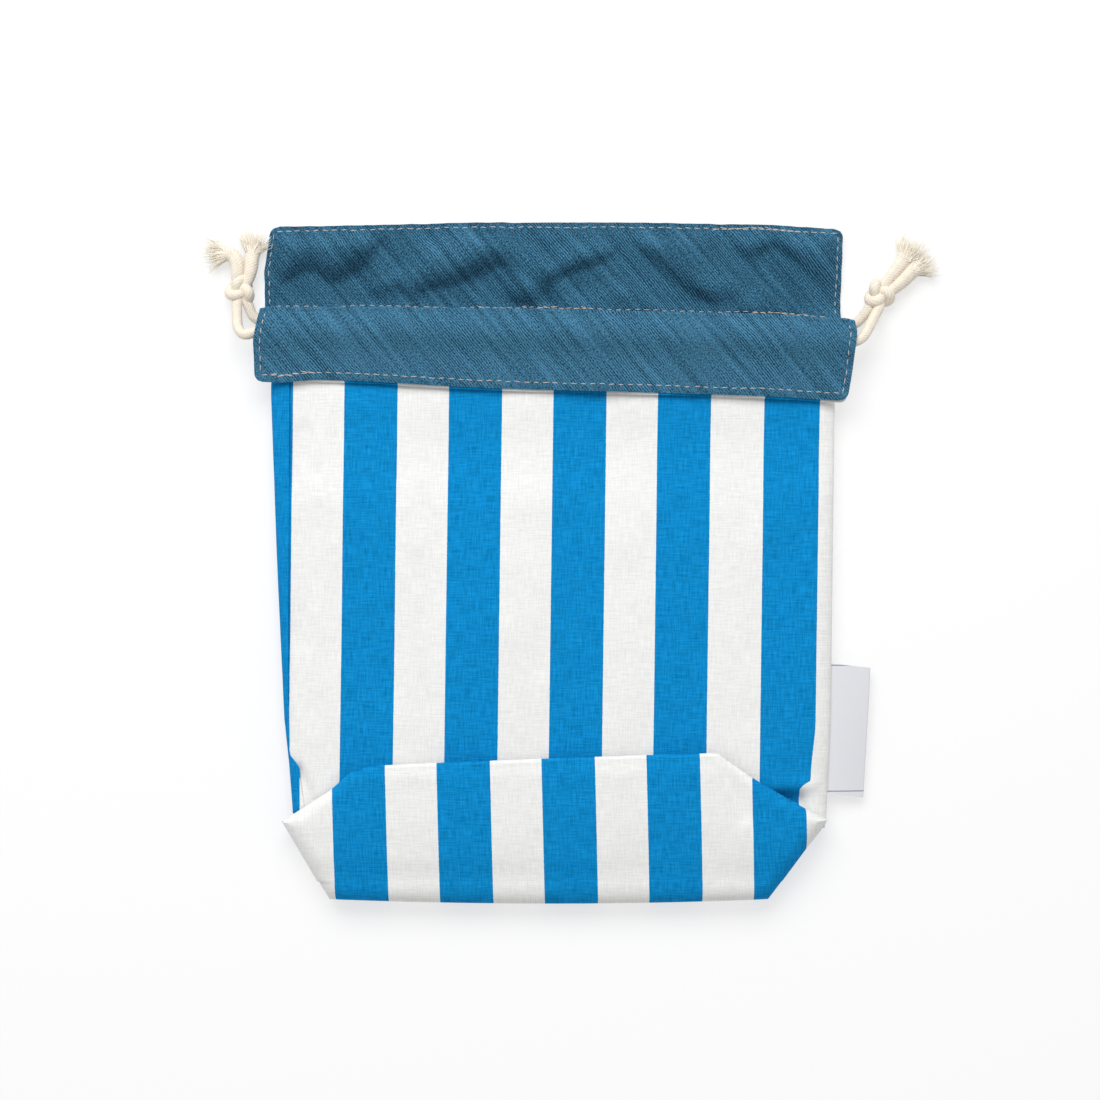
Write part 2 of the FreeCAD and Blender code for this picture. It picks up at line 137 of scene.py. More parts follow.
def stroke(x, y, start, end, width):
    """1 along the line from start to end, fading to 0 over the width."""
    run = Vector(end) - Vector(start)
    offset = Vector((x, y)) - Vector(start)
    t = clamp(offset.dot(run) / run.length_squared)
    gap = (offset - run * t).length / width
    return math.exp(-gap * gap)


def spread(start, end, step):
    """Even places from start to end, about a step apart."""
    count = max(1, round(abs(end - start) / step))
    return [start + (end - start) * i / count for i in range(count + 1)]


# ---------------------------------------------------------------- the properties


def colour(name, text, value):
    """A colour that a user may change; the default is an sRGB hex value."""
    return bpy.props.FloatVectorProperty(
        name=name, description=text, default=from_hex(value), subtype="COLOR", size=3, min=0.0, max=1.0
    )


def from_hex(value):
    """sRGB hex to linear colour."""
    channels = [int(value[i : i + 2], 16) / 255.0 for i in (1, 3, 5)]
    return tuple(c / 12.92 if c <= 0.04045 else ((c + 0.055) / 1.055) ** 2.4 for c in channels)


def length(name, text, value):
    """A length in metres that a user may change; the default is given in mm."""
    return bpy.props.FloatProperty(
        name=name, description=text, default=value * MM, unit="LENGTH", precision=5
    )


class SackCloth(bpy.types.PropertyGroup):
    """Cloth, thread and label."""

    blue: colour("Blue stripe", "Dyed stripe of the outer cotton", "#0487C8")
    white: colour("White stripe", "Undyed stripe of the outer cotton", "#F0F0EE")
    # Light and dark twill: the dark one is painted shade in the hollows between the ribs.
    twill_light: colour("Twill, light", "Raised ribs of the lining", "#4F88A9")
    twill_dark: colour("Twill, dark", "Hollows between the ribs", "#0B3449")
    thread: colour("Topstitching", "Sewing thread", "#CABFB8")
    label: colour("Label", "Ground of the woven tape", "#E2E3E8")
    label_line: colour("Label lines", "Dark woven lines at the label's ends", "#8A8D99")
    stripe: length("Stripe", "Width of one stripe", 20.0)
    cotton: length("Cotton", "Thickness of the outer cloth", 0.42)
    twill: length("Twill", "Thickness of the lining", 0.6)
    stitch: length("Stitch", "Length of one visible stitch", 2.5)
    stitch_pitch: length("Stitch pitch", "From one stitch to the next", 3.6)


class SackCord(bpy.types.PropertyGroup):
    """The drawcord."""

    natural: colour("Cord", "Undyed cotton cord", "#F6EDDE")
    # Painted shade: the colour drawn in the hollows between the cord's strands.
    shade: colour("Cord, hollows", "Between the cord's strands", "#CBBCA3")
    diameter: length("Diameter", "Thickness of the cord", 3.6)
    lay: length("Lay", "Length of one turn of a strand", 9.0)


class SackStage(bpy.types.PropertyGroup):
    """Camera, light and table."""

    camera_height: length("Camera height", "Camera above the table", 1004.0)
    table: colour("Table", "Pale table top", "#FEFEFE")
    key: bpy.props.FloatProperty(
        name="Window light", description="Power of the large lamp", default=13.5, min=0.0, unit="POWER"
    )
    sky: bpy.props.FloatProperty(
        name="Room light", description="Even light all round", default=0.5, min=0.0
    )


# ---------------------------------------------------------------- materials


def join(tree, item, inputs):
    """Set a node's inputs: each takes a value, a socket, or a node whose first output is meant."""
    for socket, value in inputs.items():
        if isinstance(value, bpy.types.Node):
            value = value.outputs[0]
        if isinstance(value, bpy.types.NodeSocket):
            tree.links.new(value, item.inputs[socket])
        else:
            item.inputs[socket].default_value = value


def node_in(tree, kind, inputs=None, **settings):
    """Add a node with its settings and its inputs."""
    item = tree.nodes.new(kind)
    for key, value in settings.items():
        setattr(item, key, value)
    join(tree, item, inputs or {})
    return item


def new_material(name):
    """An empty node material with its shader and output joined."""
    material = bpy.data.materials.new(name)
    material.use_nodes = True
    tree = material.node_tree
    tree.nodes.clear()
    shader = node_in(tree, "ShaderNodeBsdfPrincipled")
    node_in(tree, "ShaderNodeOutputMaterial", {"Surface": shader})
    return material, tree, shader


def rgba(value, gain=1.0, lift=0.0):
    """A colour for a socket, made paler or darker."""
    return (*(min(1.0, c * gain + lift) for c in value), 1.0)


def striped_cotton(cloth):
    """Plain-weave quilting cotton, yarn-dyed in wide stripes: matt, with faint uneven threads both ways."""
    material, tree, shader = new_material("Plain-weave cotton, striped")
    uv = node_in(tree, "ShaderNodeUVMap", uv_map="cloth")
    split = node_in(tree, "ShaderNodeSeparateXYZ", {0: uv})
    # The stripe's edge wavers by a thread or so, 0.12 mm either way.
    waver = node_in(tree, "ShaderNodeTexNoise", {"Vector": uv, "Scale": 900.0, "Detail": 2.0})
    shift = node_in(tree, "ShaderNodeMath", {0: waver, 1: 0.00024, 2: -0.00012}, operation="MULTIPLY_ADD")
    place = node_in(tree, "ShaderNodeMath", {0: split, 1: shift}, operation="ADD")
    repeat = node_in(tree, "ShaderNodeMath", {0: place, 1: cloth.stripe * 2}, operation="FLOORED_MODULO")
    blue = node_in(tree, "ShaderNodeMath", {0: repeat, 1: cloth.stripe * 1.018}, operation="LESS_THAN")
    # Threads are about 0.3 mm apart, too fine to show, so their unevenness is drawn at 0.6 mm.
    threads = []
    for stretch in ((1900.0, 150.0, 1.0), (150.0, 1900.0, 1.0)):
        mapping = node_in(tree, "ShaderNodeMapping", {0: uv, "Scale": stretch})
        slub = {"Vector": mapping, "Scale": 1.0, "Detail": 3.0, "Roughness": 0.6}
        threads.append(node_in(tree, "ShaderNodeTexNoise", slub))
    cross = node_in(tree, "ShaderNodeMath", {0: threads[0], 1: threads[1]}, operation="ADD")
    tone = node_in(tree, "ShaderNodeMapRange", {0: cross, 1: 0.74, 2: 1.26})
    blues, whites = (
        node_in(tree, "ShaderNodeMix", {0: tone, 6: deep, 7: pale}, data_type="RGBA")
        for deep, pale in (
            (rgba(cloth.blue, 0.72), rgba(cloth.blue, 1.24, 0.006)),
            (rgba(cloth.white, 0.9), rgba(cloth.white, 1.07)),
        )
    )
    dyed = {0: blue, 6: whites.outputs[2], 7: blues.outputs[2]}
    stripes = node_in(tree, "ShaderNodeMix", dyed, data_type="RGBA")
    bump = node_in(tree, "ShaderNodeBump", {"Height": cross, "Strength": 0.35, "Distance": 0.0002})
    join(
        tree, shader, {"Base Color": stripes.outputs[2], "Normal": bump, "Roughness": 0.85,
        "Specular IOR Level": 0.04}
    )
    return material


def twill_lining(cloth, name="Cotton twill, dyed teal blue", darkest=1.06):
    """Cotton twill, piece-dyed: steep diagonal ribs, with painted shade drawn dark in the hollows between
    them, and pale streaks along the ribs.
    """
    material, tree, shader = new_material(name)
    uv = node_in(tree, "ShaderNodeUVMap", uv_map="cloth")
    turn = node_in(tree, "ShaderNodeMapping", {0: uv, "Rotation": (0.0, 0.0, math.radians(50.0))})
    split = node_in(tree, "ShaderNodeSeparateXYZ", {0: turn})
    # Ribs are about 0.6 mm apart in the cloth; they are drawn 0.9 mm apart so that they show.
    drift = node_in(tree, "ShaderNodeTexNoise", {"Vector": uv, "Scale": 60.0, "Detail": 4.0})
    bent = node_in(
        tree, "ShaderNodeMath", {0: drift, 1: 0.0035, 2: split.outputs[1]}, operation="MULTIPLY_ADD"
    )
    phase = node_in(tree, "ShaderNodeMath", {0: bent, 1: 2.0 * math.pi / 0.00088}, operation="MULTIPLY")
    rib = node_in(tree, "ShaderNodeMath", {0: phase}, operation="SINE")
    # Single threads break each rib into short grains, and long pale streaks run along it.
    grain, streak = (
        node_in(
            tree,
            "ShaderNodeTexNoise",
            {
                "Vector": node_in(tree, "ShaderNodeMapping", {0: turn, "Scale": stretch}), "Scale": 1.0,
                "Detail": 2.0
            },
        )
        for stretch in ((1300.0, 2300.0, 1.0), (22.0, 420.0, 1.0))
    )
    patch = node_in(tree, "ShaderNodeTexNoise", {"Vector": uv, "Scale": 45.0})
    weight = node_in(tree, "ShaderNodeMapRange", {0: patch, 1: 0.38, 2: 0.62, 3: 0.05, 4: 0.34})
    ribs = node_in(tree, "ShaderNodeMath", {0: rib, 1: weight}, operation="MULTIPLY")
    with_grain = node_in(tree, "ShaderNodeMath", {0: grain, 1: 2.1, 2: ribs}, operation="MULTIPLY_ADD")
    with_streak = node_in(
        tree, "ShaderNodeMath", {0: streak, 1: 0.8, 2: with_grain}, operation="MULTIPLY_ADD"
    )
    # A higher start, as on the back casing's copy, draws the whole twill darker: painted shade.
    tone = node_in(tree, "ShaderNodeMapRange", {0: with_streak, 1: darkest, 2: darkest + 0.82})
    # The rib pattern draws the hollows dark as painted shade; grain and streaks vary at random.
    colours = {0: tone, 6: rgba(cloth.twill_dark), 7: rgba(cloth.twill_light)}
    ramp = node_in(tree, "ShaderNodeMix", colours, data_type="RGBA")
    bump = node_in(tree, "ShaderNodeBump", {"Height": tone, "Strength": 0.45, "Distance": 0.0003})
    join(tree, shader, {"Base Color": ramp.outputs[2], "Normal": bump, "Roughness": 0.8})
    join(tree, shader, {"Sheen Weight": 0.02, "Specular IOR Level": 0.08})
    return material


def casing_twill_painted_shade(cloth):
    """The same twill on the back casing, drawn a little darker than on the cuff: painted shade, a shaded
    copy of one material.
    """
    return twill_lining(cloth, "Cotton twill, dyed teal blue, painted shade", 1.17)


def sewing_thread(cloth):
    """Spun polyester sewing thread: a slight gloss on a tight twist."""
    material, tree, shader = new_material("Spun polyester thread, beige")
    place = node_in(tree, "ShaderNodeTexCoord")
    fleck = node_in(tree, "ShaderNodeTexNoise", {"Vector": place.outputs["Object"], "Scale": 700.0})
    colours = {0: fleck, 6: rgba(cloth.thread, 0.7), 7: rgba(cloth.thread)}
    mix = node_in(tree, "ShaderNodeMix", colours, data_type="RGBA")
    join(tree, shader, {"Base Color": mix.outputs[2], "Roughness": 0.55})
    return material


def cotton_cord(cord):
    """Soft-laid undyed cotton cord: fibres run slantwise round it, pale on top of the strands, with painted
    shade drawn buff in the hollows between them.
    """
    material, tree, shader = new_material("Soft-laid cotton cord, undyed")
    # Painted shade: the hollows between the strands are drawn towards the hollows colour.
    depth = node_in(tree, "ShaderNodeAttribute", attribute_name="hollow_shade")
    place = node_in(tree, "ShaderNodeUVMap", uv_map="cord")
    # UV runs in metres, along and round the cord; fibres are drawn about 0.4 mm apart.
    turn = node_in(tree, "ShaderNodeMapping", {0: place, "Rotation": (0.0, 0.0, math.radians(38.0))})
    stretch = node_in(tree, "ShaderNodeMapping", {0: turn, "Scale": (500.0, 2600.0, 1.0)})
    fibre = node_in(tree, "ShaderNodeTexNoise", {"Vector": stretch, "Scale": 1.0, "Detail": 3.0})
    mixed = node_in(
        tree, "ShaderNodeMath", {0: fibre, 1: 0.9, 2: depth.outputs["Fac"]}, operation="MULTIPLY_ADD"
    )
    tone = node_in(tree, "ShaderNodeMapRange", {0: mixed, 1: 0.35, 2: 1.5})
    mix = node_in(
        tree, "ShaderNodeMix", {0: tone, 6: rgba(cord.natural), 7: rgba(cord.shade)}, data_type="RGBA"
    )
    bump = node_in(tree, "ShaderNodeBump", {"Height": fibre, "Strength": 0.6, "Distance": 0.0003})
    join(tree, shader, {"Base Color": mix.outputs[2], "Normal": bump, "Roughness": 0.95})
    join(tree, shader, {"Sheen Weight": 0.2, "Specular IOR Level": 0.2})
    return material


def loose_fibres(cord):
    """Combed-out cotton fibres at a cut end, drawn paler than the cord: painted light, standing in for the
    light that passes through the tuft.
    """
    material, tree, shader = new_material("Loose cotton fibres, undyed")
    place = node_in(tree, "ShaderNodeTexCoord")
    fleck = node_in(tree, "ShaderNodeTexNoise", {"Vector": place.outputs["Object"], "Scale": 500.0})
    # Painted light: from the cord's colour up to 1.12 times paler.
    colours = {0: fleck, 6: rgba(cord.natural), 7: rgba(cord.natural, 1.12)}
    mix = node_in(tree, "ShaderNodeMix", colours, data_type="RGBA")
    join(tree, shader, {"Base Color": mix.outputs[2], "Roughness": 0.95})
    join(tree, shader, {"Sheen Weight": 0.4, "Specular IOR Level": 0.2})
    return material


def woven_label(cloth):
    """Woven polyester label tape: smooth and faintly satin, with a fine dark line at each short end."""
    material, tree, shader = new_material("Woven label tape")
    uv = node_in(tree, "ShaderNodeUVMap", uv_map="cloth")
    split = node_in(tree, "ShaderNodeSeparateXYZ", {0: uv})
    # UV's second number runs from the middle of the label to its ends.
    away = node_in(tree, "ShaderNodeMath", {0: split.outputs[1]}, operation="ABSOLUTE")
    line = node_in(tree, "ShaderNodeMath", {0: away, 1: 0.0242, 2: 0.00022}, operation="COMPARE")
    weave = node_in(tree, "ShaderNodeTexNoise", {"Vector": uv, "Scale": 1500.0})
    colours = {0: weave, 6: rgba(cloth.label, 0.93), 7: rgba(cloth.label)}
    ground = node_in(tree, "ShaderNodeMix", colours, data_type="RGBA")
    lined = {0: line, 6: ground.outputs[2], 7: rgba(cloth.label_line)}
    mix = node_in(tree, "ShaderNodeMix", lined, data_type="RGBA")
    bump = node_in(tree, "ShaderNodeBump", {"Height": weave, "Strength": 0.3, "Distance": 0.0001})
    join(tree, shader, {"Base Color": mix.outputs[2], "Normal": bump, "Roughness": 0.5})
    return material


MAKERS = {
    "striped_cotton": lambda scene: striped_cotton(scene.sack_cloth),
    "twill_lining": lambda scene: twill_lining(scene.sack_cloth),
    # A darker copy of the twill for the back casing: painted shade.
    "casing_twill_painted_shade": lambda scene: casing_twill_painted_shade(scene.sack_cloth),
    "topstitch_thread": lambda scene: sewing_thread(scene.sack_cloth),
    "cotton_cord": lambda scene: cotton_cord(scene.sack_cord),
    "woven_label": lambda scene: woven_label(scene.sack_cloth),
    "loose_fibres": lambda scene: loose_fibres(scene.sack_cord),
}
MADE = {}


def finish_for(scene, slot):
    """The material for a slot of the record, or one of the two finer ones, made once."""
    if slot not in MADE:
        MADE[slot] = MAKERS[slot](scene)
    return MADE[slot]


# ---------------------------------------------------------------- the cloth's shape


def fold_line(x):
    """The cuff's fold, which runs down to the right and bows a little towards the mouth."""
    bow = along(((-115.0, -0.8), (-60.0, 0.3), (0.0, 0.8), (75.0, 0.8), (115.0, -0.2)), x)
    return CUFF_AXIS.y - 1.1 - CUFF_SLANT * x + bow


def left_side(y):
    """Left edge of the body."""
    return straight(
        ((-129.0, -100.0), (-95.0, -100.6), (-78.0, -101.9), (-60.0, -103.8), (0.0, -106.6),
        (64.0, -108.9)), y
    )


def right_side(y):
    """Right edge of the body."""
    return straight(((-129.0, 103.4), (-95.0, 104.2), (-60.0, 105.8), (0.0, 106.6), (64.0, 107.4)), y)


def left_seam(y):
    """Where the front cloth ends on the left; beyond it the back cloth comes round."""
    return along(((-96.0, -95.7), (-79.5, -97.8), (-72.5, -101.8), (-50.0, -102.2), (64.0, -101.6)), y)


def cord_line(x):
    """The front cord inside the cuff."""
    return fold_line(x) - 8.5


def front_relief(x, y):
    """How far the front is pressed in."""
    depth = 1.6 * (0.6 - swell(x * 1.5, y * 0.7, 50.0, 1.0)) + 0.55 * (0.5 - swell(x * 1.3, y, 17.0, 2.0))
    depth += 1.5 * math.exp(
        -(((y - cord_line(x)) / 5.5) ** 2)
    ) + 1.2 * smooth(22.0, 40.0, y) * smooth(64.0, 44.0, y)
    depth += 5.0 * stroke(x, y, (86.0, -91.5), (92.5, -91.5), 4.0)
    depth += 2.0 * stroke(x, y, (-98.0, -78.5), (-92.5, -92.0), 1.7)
    depth -= 1.5 * stroke(x, y, (80.0, -85.4), (98.0, -85.0), 2.2)
    depth += 1.0 * stroke(x, y, (-96.0, 50.0), (-97.0, -30.0), 4.0)
    return -max(0.0, depth)


def flap_relief(x, y):
    """How far the folded base swells."""
    swollen = 0.5 + 0.6 * swell(x, y, 45.0, 3.0) + 0.22 * swell(x, y, 14.0, 4.0)
    swollen += 0.9 * math.exp(-(((y + 101.0) / 16.0) ** 2))
    swollen -= 1.0 * stroke(x, y, (66.0, -78.0), (72.0, -96.0), 3.2)
    return max(0.0, swollen)


def cuff_relief(x, y):
    """How far the cuff swells: over its cord, and in small puckers along its stitches."""
    swollen = 2.5 * math.exp(-(((y - cord_line(x)) / 6.5) ** 2))
    swollen += 0.6 * (0.6 + swell(x, y, 24.0, 5.0)) + 0.45 * (0.5 + swell(x * 1.6 + y, y * 0.4, 9.0, 6.0))
    return max(0.0, swollen)


def cuff_under_relief(x, y):
    """How far the cuff's cotton is pressed in by the cord that lies on it."""
    return -1.3 * math.exp(-(((y - cord_line(x)) / 5.0) ** 2))


DENTS = (
    ((-104.0, 104.0), (-95.0, 109.0), 7.0, 4.6),
    ((-84.0, 103.0), (-60.0, 121.0), 7.0, 5.2),
    ((-60.0, 121.0), (-50.0, 127.0), 7.0, 3.6),
    ((-47.0, 100.5), (-22.0, 110.0), 7.0, 5.0),
    ((-22.0, 101.0), (-13.0, 96.0), 5.0, 3.6),
    ((-14.0, 127.0), (-2.0, 119.0), 6.0, 3.6),
    ((4.0, 124.0), (28.0, 125.0), 5.0, 2.8),
    ((2.0, 105.5), (28.0, 115.0), 6.0, 5.2),
    ((30.0, 115.0), (58.0, 96.0), 6.2, 5.2),
    ((64.0, 122.0), (78.0, 110.0), 6.5, 3.8),
    ((84.0, 117.0), (106.0, 98.0), 7.0, 5.4),
    ((-72.0, 100.0), (-62.0, 103.0), 5.0, 3.2),
)


def casing_relief(x, y):
    """How far the back casing's lining stands up, in soft wrinkles with dents between them."""
    height = 5.0 + 2.0 * smooth(99.0, 107.0, y) + 2.6 * swell(x, y, 22.0, 7.0) + 0.9 * swell(x, y, 9.0, 8.0)
    for start, end, width, depth in DENTS:
        height -= (1.5 + 0.35 * smooth(99.0, 107.0, y)) * depth * stroke(x, y, start, end, width)
    height = 0.15 + math.log1p(math.exp(2.0 * (height - 0.15))) / 2.0
    calm = min(smooth(0.0, 9.0, 110.0 - abs(x)), smooth(0.0, 9.0, 129.0 - y))
    height = 0.15 + (height - 0.15) * (0.15 + 0.85 * calm)
    height *= smooth(84.0, 98.0, y)
    cord_bulge = 4.2 * math.exp(-(((y - 93.4 + 0.006 * x) / 4.4) ** 2)) * smooth(0.0, 3.0, 112.0 - abs(x))
    return max(height, cord_bulge)


class Section:
    """The body's closed outline across the sack at one place along it, for one layer of cloth."""

    def __init__(self, y, inset):
        self.y = y
        self.inset = inset
        self.rise = FRONT_LEVEL - SIDE_LEVEL - inset
        self.reach = CURL_REACH - inset
        self.quarter = 0.5 * math.pi * math.sqrt((self.reach**2 + self.rise**2) / 2.0)
        self.flat = {1: right_side(y) - CURL_REACH, -1: -left_side(y) - CURL_REACH}

    def seam_turn(self, x):
        """Angle round the side fold at which the outline stands above a place on the front."""
        side = 1 if x > 0 else -1
        return math.asin(clamp((abs(x) - self.flat[side]) / CURL_REACH, 0.0, 0.999))

    def point(self, side, turn):
        """A place on the side fold: 0 is the front, a half turn is the back."""
        x = self.flat[side] + self.reach * math.sin(turn)
        return Vector((side * x, self.y, SIDE_LEVEL + self.rise * math.cos(turn)))


def front_place(x_share, y, inset):
    """A point of the front cloth or its lining; x_share runs from its left seam to its right seam."""
    section = Section(min(y, 64.0), inset)
    left = section.seam_turn(left_seam(y))
    right = section.seam_turn(right_side(min(y, 64.0)) - 0.1)
    spans = (
        section.quarter * left / (math.pi / 2), section.flat[-1] + section.flat[1],
        section.quarter * right / (math.pi / 2)
    )
    run = x_share * sum(spans)
    if run < spans[0]:
        place = section.point(-1, left * (1.0 - run / spans[0]))
    elif run < spans[0] + spans[1]:
        place = Vector((run - spans[0] - section.flat[-1], y, SIDE_LEVEL + section.rise))
    else:
        place = section.point(1, right * (run - spans[0] - spans[1]) / spans[2])
    place.y = y
    opened = smooth(66.0, 90.0, y)
    flat = Vector((-112.6 + 226.6 * x_share, y, FRONT_LEVEL - inset))
    place = place.lerp(flat, opened)
    inside = smooth(0.0, 7.0, place.z + inset - SIDE_LEVEL) if opened < 1.0 else 1.0
    place.z += front_relief(place.x, place.y) * max(inside, opened)
    # The lining's own edge turns in under the cloth's where the side fold opens out.
    turned_in = inset * opened * (1.0 - opened) * smooth(0.86, 0.95, abs(2.0 * x_share - 1.0))
    place.z -= 5.0 * turned_in
    place.x -= math.copysign(6.0 * turned_in, place.x)
    return place


def casing_left(y):
    edge = straight(((64.0, -109.6), (97.0, -112.0), (112.0, -112.3), (TOP_EDGE, -109.9)), y)
    return edge + 0.2 * swell(y, 0.0, 5.0, 12.0)


def casing_right(y):
    edge = straight(((64.0, 109.8), (97.0, 110.3), (TOP_EDGE, 111.5)), y)
    return edge + 0.2 * swell(y, 0.0, 5.0, 13.0)


def casing_top(x):
    """The back casing's top edge, a little bowed and puckered by its stitches."""
    bow = along(((-110.0, 0.4), (-20.0, 2.0), (20.0, 2.0), (75.0, 1.2), (112.0, -0.6)), x)
    return TOP_EDGE + bow + 0.22 * swell(x, 0.0, 5.0, 14.0)


def back_place(x_share, y, inset):
    """A point of the back cloth or its lining; x_share runs from its right seam round to its left seam."""
    body_y = clamp(y, -99.0, 64.0)
    section = Section(body_y, inset)
    left = section.seam_turn(left_seam(y))
    right = section.seam_turn(right_side(body_y) - 0.1)
    if inset:
        left = right = math.radians(77.0)
    turns = (math.pi - right, math.pi - left)
    spans = [section.quarter * t / (math.pi / 2) for t in turns]
    floor = section.flat[1] + section.flat[-1]
    total = spans[0] + floor + spans[1]
    run = x_share * total
    if run < spans[0]:
        place = section.point(1, right + turns[0] * run / spans[0])
    elif run < spans[0] + floor:
        place = Vector((section.flat[1] - (run - spans[0]), y, SIDE_LEVEL - section.rise))
    else:
        place = section.point(-1, math.pi - turns[1] * (run - spans[0] - floor) / spans[1])
    place.y = y
    opened = smooth(68.0, 95.0, y)
    sides = (casing_right(y) - inset * 0.5, casing_left(y) + inset * 0.5)
    flat = Vector((sides[0] + (sides[1] - sides[0]) * x_share, y, COTTON_FLOOR + inset))
    below = casing_top(flat.x) - y
    if below < 3.5:
        pull = 3.5 - math.sqrt(max(0.0, 3.5**2 - (3.5 - below) ** 2))
        flat.x -= math.copysign(pull, flat.x) * smooth(0.9, 1.0, abs(2.0 * x_share - 1.0))
    return place.lerp(flat, opened)


# ---------------------------------------------------------------- making sheets


def add_object(name, mesh):
    """Put a mesh in the scene as an object of the same name."""
    item = bpy.data.objects.new(name, mesh)
    bpy.context.scene.collection.objects.link(item)
    return item


def only(item):
    """Select one object alone and make it active."""
    bpy.ops.object.select_all(action="DESELECT")
    item.select_set(True)
    bpy.context.view_layer.objects.active = item


def cloth_sheet(scene, name, slot, columns, rows, place, weave, thickness):
    """A sheet of cloth: a grid over its middle surface, given its thickness, with its weave in metres."""
    points = [place(u, v) for v in rows for u in columns]
    weaves = [weave(u, v, points[i]) for i, (v, u) in enumerate((v, u) for v in rows for u in columns)]
    width = len(columns)
    faces = []
    for r in range(len(rows) - 1):
        for c in range(width - 1):
            a = r * width + c
            faces.append((a, a + 1, a + width + 1, a + width))
    mesh = bpy.data.meshes.new(name)
    mesh.from_pydata([p * MM for p in points], [], faces)
    layer = mesh.uv_layers.new(name="cloth")
    for loop in mesh.loops:
        layer.data[loop.index].uv = weaves[loop.vertex_index]
    item = add_object(name, mesh)
    only(item)
    wall = item.modifiers.new("thickness", "SOLIDIFY")
    wall.thickness = thickness
    wall.offset = 0.0
    bpy.ops.object.modifier_apply(modifier=wall.name)
    bpy.ops.object.shade_smooth_by_angle(angle=math.radians(50.0))
    mesh.materials.append(finish_for(scene, slot))
    return item


def front_weave(u, v, p):
    """Stripes of the front, which lean a little to the left going down."""
    x = p.x - 0.04 * max(0.0, p.x - 60.0)
    if p.x > 85.0:
        x += 1.5 * smooth(-60.0, -82.0, p.y) * smooth(85.0, 97.0, p.x)
        x += 4.4 * smooth(-83.0, -86.5, p.y) * smooth(90.0, 94.0, p.x)
    return ((x + 1.4 - 0.013 * p.y) * MM, p.y * MM)


# ---------------------------------------------------------------- stage


def aim(item, target):
    """Point a lamp or camera at a place."""
    item.rotation_euler = (Vector(target) - item.location).to_track_quat("-Z", "Y").to_euler()


def seen_ray(tree):
    """1 for a ray that the eye sees, straight, in gloss or in glass, and 0 for light on the sack."""
    path = node_in(tree, "ShaderNodeLightPath")
    rays = {0: path.outputs["Is Camera Ray"], 1: path.outputs["Is Glossy Ray"]}
    seen = node_in(tree, "ShaderNodeMath", rays, operation="MAXIMUM")
    rays = {0: seen, 1: path.outputs["Is Transmission Ray"]}
    return node_in(tree, "ShaderNodeMath", rays, operation="MAXIMUM")


class SACK_OT_stage(bpy.types.Operator):
    """Camera, lamps, room light and the pale table"""

    bl_idname = "sack.stage"
    bl_label = "Stage"

    def execute(self, context):
        scene = context.scene
        stage = scene.sack_stage
        scene.view_settings.view_transform = "Standard"
        lens = bpy.data.cameras.new("camera")
        lens.lens = 85.0
        lens.sensor_width = 36.0
        lens.clip_end = 20.0
        camera = add_object("camera", lens)
        camera.location = (-0.0019, 0.0048, stage.camera_height)
        scene.camera = camera

        lamp = bpy.data.lights.new("window", "AREA")
        lamp.shape = "RECTANGLE"
        lamp.size = 1.2
        lamp.size_y = 0.7
        lamp.energy = stage.key
        window = add_object("window", lamp)
        window.location = (-0.18, 0.8, 0.95)
        aim(window, (0.0, 0.0, 0.0))

        world = bpy.data.worlds.new("room")
        world.use_nodes = True
        tree = world.node_tree
        tree.nodes.clear()
        level = node_in(tree, "ShaderNodeMapRange", {0: seen_ray(tree), 3: stage.sky, 4: 1.0})
        sky = node_in(tree, "ShaderNodeBackground", {"Strength": level, "Color": WHITE})
        node_in(tree, "ShaderNodeOutputWorld", {"Surface": sky})
        scene.world = world

        bpy.ops.object.select_all(action="DESELECT")
        bpy.ops.mesh.primitive_plane_add(size=6.0, location=(0.0, 0.0, 0.0))
        table = context.active_object
        table.name = "table"
        material, tree, shader = new_material("Matt white paper sheet")
        join(tree, shader, {"Base Color": rgba(stage.table), "Roughness": 0.9, "Specular IOR Level": 0.0})
        # Bright paper: what the eye sees of it is nearly white, and shadows on it stay faint.
        share = node_in(tree, "ShaderNodeMath", {0: seen_ray(tree), 1: 0.62}, operation="MULTIPLY")
        white = node_in(tree, "ShaderNodeEmission", {"Color": WHITE, "Strength": 1.0})
        paper = node_in(tree, "ShaderNodeMixShader", {0: share, 1: shader, 2: white})
        output = next(node for node in tree.nodes if node.type == "OUTPUT_MATERIAL")
        join(tree, output, {"Surface": paper})
        table.data.materials.append(material)
        return {"FINISHED"}


# ---------------------------------------------------------------- cords


def route(points):
    """Points read along a smooth spline through a cord's route."""
    curve = bpy.data.curves.new("route", "CURVE")
    curve.dimensions = "3D"
    curve.resolution_u = 12
    spline = curve.splines.new("NURBS")
    spline.points.add(len(points) - 1)
    for target, point in zip(spline.points, points):
        target.co = (*(Vector(point) * MM), 1.0)
    spline.order_u = 3
    spline.use_endpoint_u = True
    holder = add_object("route", curve)
    mesh = bpy.data.meshes.new_from_object(holder)
    line = [vertex.co.copy() for vertex in mesh.vertices]
    bpy.data.objects.remove(holder)
    bpy.data.curves.remove(curve)
    bpy.data.meshes.remove(mesh)
    return line


def even(line, step):
    """The same line with its points an even step apart."""
    spans = [(b - a).length for a, b in zip(line, line[1:])]
    total = sum(spans)
    count = max(2, round(total / step))
    result = []
    index = 0
    passed = 0.0
    for i in range(count + 1):
        target = total * i / count
        while index < len(spans) - 1 and passed + spans[index] < target:
            passed += spans[index]
            index += 1
        t = clamp((target - passed) / max(spans[index], 1e-9))
        result.append(line[index].lerp(line[index + 1], t))
    return result, total


